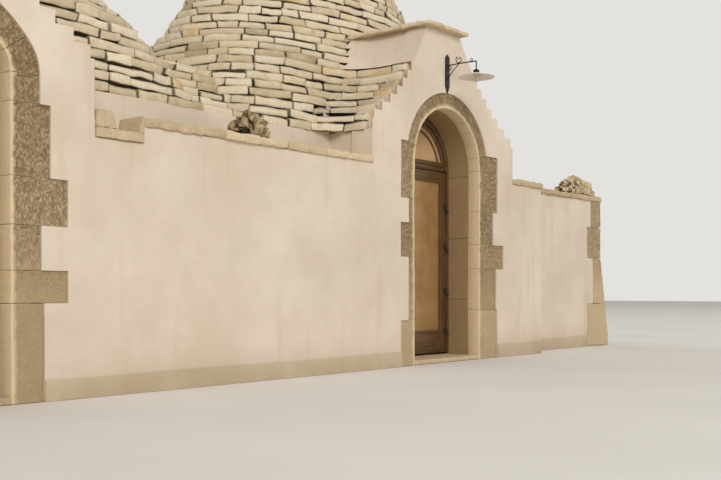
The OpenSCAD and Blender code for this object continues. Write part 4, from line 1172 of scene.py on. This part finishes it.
BEAD = [(0.0, -0.002), (0.0, 0.004), (0.004, 0.009), (0.010, 0.010),
        (0.015, 0.006), (0.020, 0.005), (0.026, 0.002), (0.026, -0.002)]
WIDE = [(0.0, -0.002), (0.0, 0.006), (0.006, 0.013), (0.014, 0.014),
        (0.020, 0.009), (0.030, 0.008), (0.036, 0.004), (0.036, -0.002)]


def rectangle(x0, x1, z0, z1):
    """Corners from low left, anticlockwise as the front is seen."""
    return [(x0, z0), (x1, z0), (x1, z1), (x0, z1)]


def board(pile, x0, x1, y0, y1, z0, z1, r=0.003):
    """A plain board with softened edges."""
    p, quads = block((x1 - x0, y1 - y0, z1 - z0), r, (4, 4, 4))
    pile.add(p + np.array([x0 + x1, y0 + y1, z0 + z1]) / 2, quads)


def door_frames():
    """Each doorway's frame, the mouldings of its transom and the rings of its fanlight."""
    both = [(0.040, BEAD, 0.0), (0.078, WIDE, 0.012)]
    for side, x, half, spring, node, path_at, rings in (
            ("right", RIGHT_X, RIGHT_HALF, RIGHT_SPRING, "door_frame", round_path(RIGHT_HALF),
             both + [(0.155, BEAD, 0.030)]),
            ("left", LEFT_X, LEFT_HALF, LEFT_SPRING, "left_door_frame", basket_path(LEFT_HALF, LEFT_RISE),
             both)):
        y, low, high, inner = FRONT + REVEAL, spring + 0.010, spring + 0.110, half - FRAME_W
        bm = copy_of(node)
        bevel(bm, 0.003, 2)
        bm.normal_update()
        for f in bm.faces:
            c = f.calc_center_median()
            f.material_index = int(low - 0.001 < c.z < high + 0.001 and abs(c.x - x) < inner + 0.01)
        shaped(bm, side + "_frame_wood", [OAK, OAK_RAIL], [node], warped=False)
        rails = Pile()
        for z in (low + 0.012, low + 0.056):
            board(rails, x - inner, x + inner - 0.05, y - 0.012, y + 0.004, z, z + 0.028)
        for mid in (x - inner + 0.022, x + inner - 0.022):
            board(rails, mid - 0.022, mid + 0.022, y - 0.018, y + 0.004, low + 0.004, high - 0.006)
        rails.piece(side + "_transom_mouldings", OAK_RAIL, slot="oak", warped=False)
        curves = Pile()
        arc = [path_at(u) for u in np.linspace(0, 1, 49)[::-1]]
        for inset, section, deeper in rings:
            line = [(x + p[0] - d[0] * inset, spring + p[1] - d[1] * inset) for p, d in arc]
            moulding(curves, [q for q in line if q[1] > high + 0.002], section, y + deeper)
        curves.piece(side + "_fanlight_mouldings", OAK, slot="oak", warped=False, weld=True)


def leaf(side, x, half, y, z0, z1, node, body):
    """Stiles, rails and a raised panel, with beads round the light."""
    stile, kick, thick = 0.105, 0.240, 0.045
    inner, sill, head = half - stile, z0 + kick, z1 - stile
    uprights, rails, beads = Pile(), Pile(), Pile()
    for x0, x1 in ((x - half, x - inner), (x + inner, x + half)):
        board(uprights, x0, x1, y, y + thick, z0, z1)
    board(rails, x - inner, x + inner, y, y + thick, z0, sill)
    board(rails, x - inner, x + inner, y, y + thick, head, z1)
    board(rails, x - inner + 0.05, x + inner - 0.05, y - 0.004, y + 0.01, z0 + 0.05, sill - 0.05, 0.004)
    light = rectangle(x - inner - 0.004, x + inner + 0.004, sill - 0.004, head + 0.004)
    panel = rectangle(x - inner + 0.04, x + inner - 0.04, z0 + 0.04, sill - 0.04)
    moulding(beads, light, [(0.010 - u, h * 0.75) for u, h in BEAD], y, True)
    moulding(beads, light[::-1], [(u - 0.010, -h * 0.75) for u, h in BEAD], y + thick, True)
    moulding(beads, panel, [(-u, h * 0.6) for u, h in BEAD], y, True)
    uprights.piece(side + "_leaf_stiles", OAK, body, [node], "oak", False)
    rails.piece(side + "_leaf_rails", OAK_RAIL, body, [node], "oak", False)
    beads.piece(side + "_leaf_beads", OAK, body, slot="oak", warped=False, weld=True)


def doors():
    """Frames and leaves, the panes as the CAD has them, the hinges and the handle."""
    door_frames()
    for side, x, node, body in (("right", RIGHT_X, "door_leaf", "door"),
                                ("left", LEFT_X, "left_door_leaf", "house")):
        lo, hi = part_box(node)
        leaf(side, x, (hi.x - lo.x) / 2, lo.y, lo.z, hi.z, node, body)
    for node in ("fanlight_glass", "left_door_glass", "door_glass"):
        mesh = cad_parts[node].data
        mesh.materials.clear()
        mesh.materials.append(LIGHT_GLASS if node == "fanlight_glass" else GLASS)
    for node, body in (("frame_hinges", "house"), ("leaf_hinges", "door")):
        bm = copy_of(node)
        bevel(bm, 0.001, 2)
        shaped(bm, node + "_iron", [HINGE], [node], body, False)
    handle()


def tube(pile, path, radius, sides=16):
    """A round bar along a path, with closed ends."""
    path = np.array(path, float)
    radius = np.broadcast_to(np.array(radius, float), len(path))
    t = np.gradient(path, axis=0)
    t /= np.linalg.norm(t, axis=1)[:, None]
    side = np.cross(t[0], [0, 0, 1.0])
    if np.linalg.norm(side) < 0.1:
        side = np.cross(t[0], [1.0, 0, 0])
    side /= np.linalg.norm(side)
    angles = 2 * math.pi * np.arange(sides) / sides
    rows = []
    for p, d, r in zip(path, t, radius):
        side = side - d * side.dot(d)
        side /= np.linalg.norm(side)
        up = np.cross(d, side)
        rows.append(p + r * (np.cos(angles)[:, None] * side + np.sin(angles)[:, None] * up))
    rows = [np.tile(path[0], (sides, 1))] + rows + [np.tile(path[-1], (sides, 1))]
    pile.add(np.concatenate(rows), ring_grid(rows))


def screws(pile, x, y, heights, profile):
    """Turned heads that look out of the front."""
    for z in heights:
        p, quads = lathe(profile, (0, 0, 0), 14)
        pile.add(p[:, [0, 2, 1]] + np.array([x, y, z]), quads)


def handle():
    """A lever on its plate."""
    pile = Pile()
    lo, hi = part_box("door_handle")
    leaf_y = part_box("door_leaf")[0].y
    z = (lo.z + hi.z) / 2
    x = lo.x + 0.018
    p, quads = block((0.036, 0.006, hi.z - lo.z), 0.0025, (4, 3, 6))
    pile.add(p + np.array([x, leaf_y - 0.003, z]), quads)
    tube(pile, [(x, leaf_y - 0.004 - 0.05 * t, z) for t in np.linspace(0, 1, 6)], 0.009, 20)
    path = [(x + 0.12 * t - 0.002, leaf_y - 0.050, z - 0.004 * math.sin(math.pi * t))
            for t in np.linspace(0, 1, 14)]
    tube(pile, path, [0.006, 0.0088, 0.0085, 0.008, 0.0078, 0.0076, 0.0075, 0.0075,
                      0.0074, 0.0074, 0.0075, 0.0078, 0.0078, 0.005], 20)
    head = [(0, -0.0016), (0.0045, -0.0016), (0.0045, 0), (0, 0)]
    screws(pile, x, leaf_y - 0.0058, (z - 0.09, z + 0.09), head)
    pile.piece("door_handle_iron", IRON, "door", ["door_handle"], "iron", False, weld=True)


def spiral(turns, r0, r1, n):
    """Points of a flat spiral from radius r0 to r1."""
    t = np.linspace(0, 1, n)
    a = 2 * math.pi * turns * t
    r = r0 + (r1 - r0) * t
    return np.column_stack([r * np.cos(a), r * np.sin(a)])


def lamp():
    """The wall lamp: a plate and an arm with curls and a brace, an enamelled shade, and the bulb."""
    x, y = middle("lamp_shade").x, middle("lamp_shade").y
    lo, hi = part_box("lamp_bracket")
    shade_lo, shade_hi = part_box("lamp_shade")
    shade_r = (shade_hi.x - shade_lo.x) / 2
    arm_z = lo.z + 0.72 * 0.410
    pile = Pile()
    p, quads = block((0.080, 0.008, hi.z - lo.z), 0.003, (8, 3, 30))
    share = np.abs(p[:, 2]) / ((hi.z - lo.z) / 2)
    p[:, 0] *= np.where(p[:, 2] < 0, np.clip(1 - (share - 0.62) / 0.38, 0.06, 1),
                        np.clip(1 - (share - 0.84) / 0.2, 0.2, 1))
    pile.add(p + np.array([x, FRONT - 0.004, (lo.z + hi.z) / 2]), quads)
    arm = [(x, FRONT - 0.006 - t, arm_z + 0.004 * math.sin(9 * t)) for t in np.linspace(0, 0.356, 24)]
    tube(pile, arm, 0.0062)
    tube(pile, [(x, y, z) for z in np.linspace(arm_z + 0.004, shade_hi.z + 0.02, 6)], 0.0060)
    brace = smooth_profile([(-0.006, -0.150), (-0.035, -0.105), (-0.085, -0.055), (-0.145, -0.004)], 8)
    for bar, out, up, radius in ((spiral(1.15, 0.012, 0.042, 40), -0.150, 0.045, 0.0046),
                                 (brace, 0, 0, 0.0046),
                                 (spiral(-1.1, 0.008, 0.026, 32), -0.040, -0.035, 0.0038),
                                 (spiral(1.0, 0.006, 0.020, 30), -0.300, 0.024, 0.0038)):
        tube(pile, [(x, FRONT + out + u, arm_z + up + w) for u, w in bar], radius, 12)
    cap = [(0, 0.0005), (0.030, 0.001), (0.028, 0.026), (0.012, 0.036), (0, 0.038)]
    pile.add(*lathe(smooth_profile(cap, 3), (x, y, shade_hi.z), 28))
    head = [(0, -0.004), (0.006, -0.004), (0.004, 0), (0, 0)]
    screws(pile, x, FRONT - 0.0078, (lo.z + 0.07, lo.z + 0.30), head)
    pile.piece("lamp_bracket_iron", IRON, nodes=["lamp_bracket"], slot="iron", warped=False, weld=True)
    pile = Pile()
    upper = [(shade_r - 0.001, -0.001), (shade_r - 0.012, 0.003), (0.117, 0.016), (0.060, 0.030),
             (0.034, 0.045), (0, 0.046)]
    lower = [(0, 0.042), (0.032, 0.042), (0.056, 0.026), (0.115, 0.012), (shade_r - 0.014, 0),
             (shade_r - 0.006, -0.0028)]
    profile = np.vstack([smooth_profile(lower, 5), smooth_profile(upper, 5)])
    pile.add(*lathe(profile, (x, y, shade_lo.z + 0.003), 72))
    pile.piece("lamp_shade_enamel", ENAMEL, nodes=["lamp_shade"], slot="enamel", warped=False, weld=True)
    pile = Pile()
    lo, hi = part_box("lamp_bulb")
    r = (hi.x - lo.x) / 2
    bulb = [(0, lo.z), (0.5 * r, lo.z + 0.004), (0.9 * r, lo.z + 0.5 * r), (r, lo.z + r),
            (0.82 * r, lo.z + 1.55 * r), (0.52 * r, hi.z - 0.022), (0.5 * r, hi.z), (0, hi.z)]
    pile.add(*lathe(smooth_profile(bulb, 5), (x, y, 0), 32))
    pile.piece("lamp_bulb_glass", BULB, nodes=["lamp_bulb"], slot="bulb_glass", warped=False, weld=True)


# Studio
def studio():
    """The neutral floor, sky and lights of the stage, and the photo's camera."""
    bpy.ops.mesh.primitive_plane_add(size=120, location=(0, 0, -0.002))
    floor = bpy.context.object
    floor.name = "studio_floor"
    f = Finish("studio_floor_finish", 0.85)
    f.colour(f.ramp(f.noise(0.5, 2), (0.4, (222, 219, 213)), (0.6, (226, 223, 217))))
    floor.data.materials.append(f.material)
    scene = bpy.context.scene
    scene.world = world = bpy.data.worlds.new("studio_world")
    world.use_nodes = True
    world.node_tree.nodes.clear()
    sky = Nodes(world.node_tree)
    seen = sky.node("LightPath", {}, "Is Camera Ray")
    for ray in ("Is Glossy Ray", "Is Transmission Ray"):
        seen = sky.math("MAXIMUM", seen, sky.node("LightPath", {}, ray))
    lit = sky.node("Background", {"Color": (1.0, 0.985, 0.96, 1), "Strength": 0.50}, 0)
    pale = sky.node("Background", {"Color": linear(228, 226, 222), "Strength": 1.0}, 0)
    out = world.node_tree.nodes.new("ShaderNodeOutputWorld")
    sky.set(out, "Surface", sky.node("MixShader", {0: seen, 1: lit, 2: pale}, 0))
    for name, place, size, power in (("key", (-20, -27, 19), 14, 6700), ("fill", (28, -20, 14), 18, 1700),
                                     ("back", (4, 30, 20), 20, 2900)):
        data = bpy.data.lights.new(name, "AREA")
        data.size, data.energy, data.color = size, power, (1.0, 0.97, 0.92)
        light = bpy.data.objects.new(name, data)
        light.location = place
        light.rotation_euler = (Vector((0, 0, 1.5)) - Vector(place)).to_track_quat("-Z", "Y").to_euler()
        scene.collection.objects.link(light)
    scene.view_settings.view_transform = "Standard"
    data = bpy.data.cameras.new("photo_camera")
    data.lens, data.sensor_width, data.shift_y, data.clip_end = 50.9, 36, 0.069, 200
    camera = bpy.data.objects.new("photo_camera", data)
    camera.location = (-6.035, -7.790, 0.76)
    camera.rotation_euler = (math.radians(90), 0, math.radians(-51.1))
    scene.collection.objects.link(camera)
    scene.camera = camera


plaster_walls()
stone_roof("left", LEFT_ROOF)
stone_roof("right", RIGHT_ROOF)
valley_stones()
roof_caps()
surrounds()
copings()
corner_stones()
rocks()
spout()
floors()
doors()
lamp()
studio()
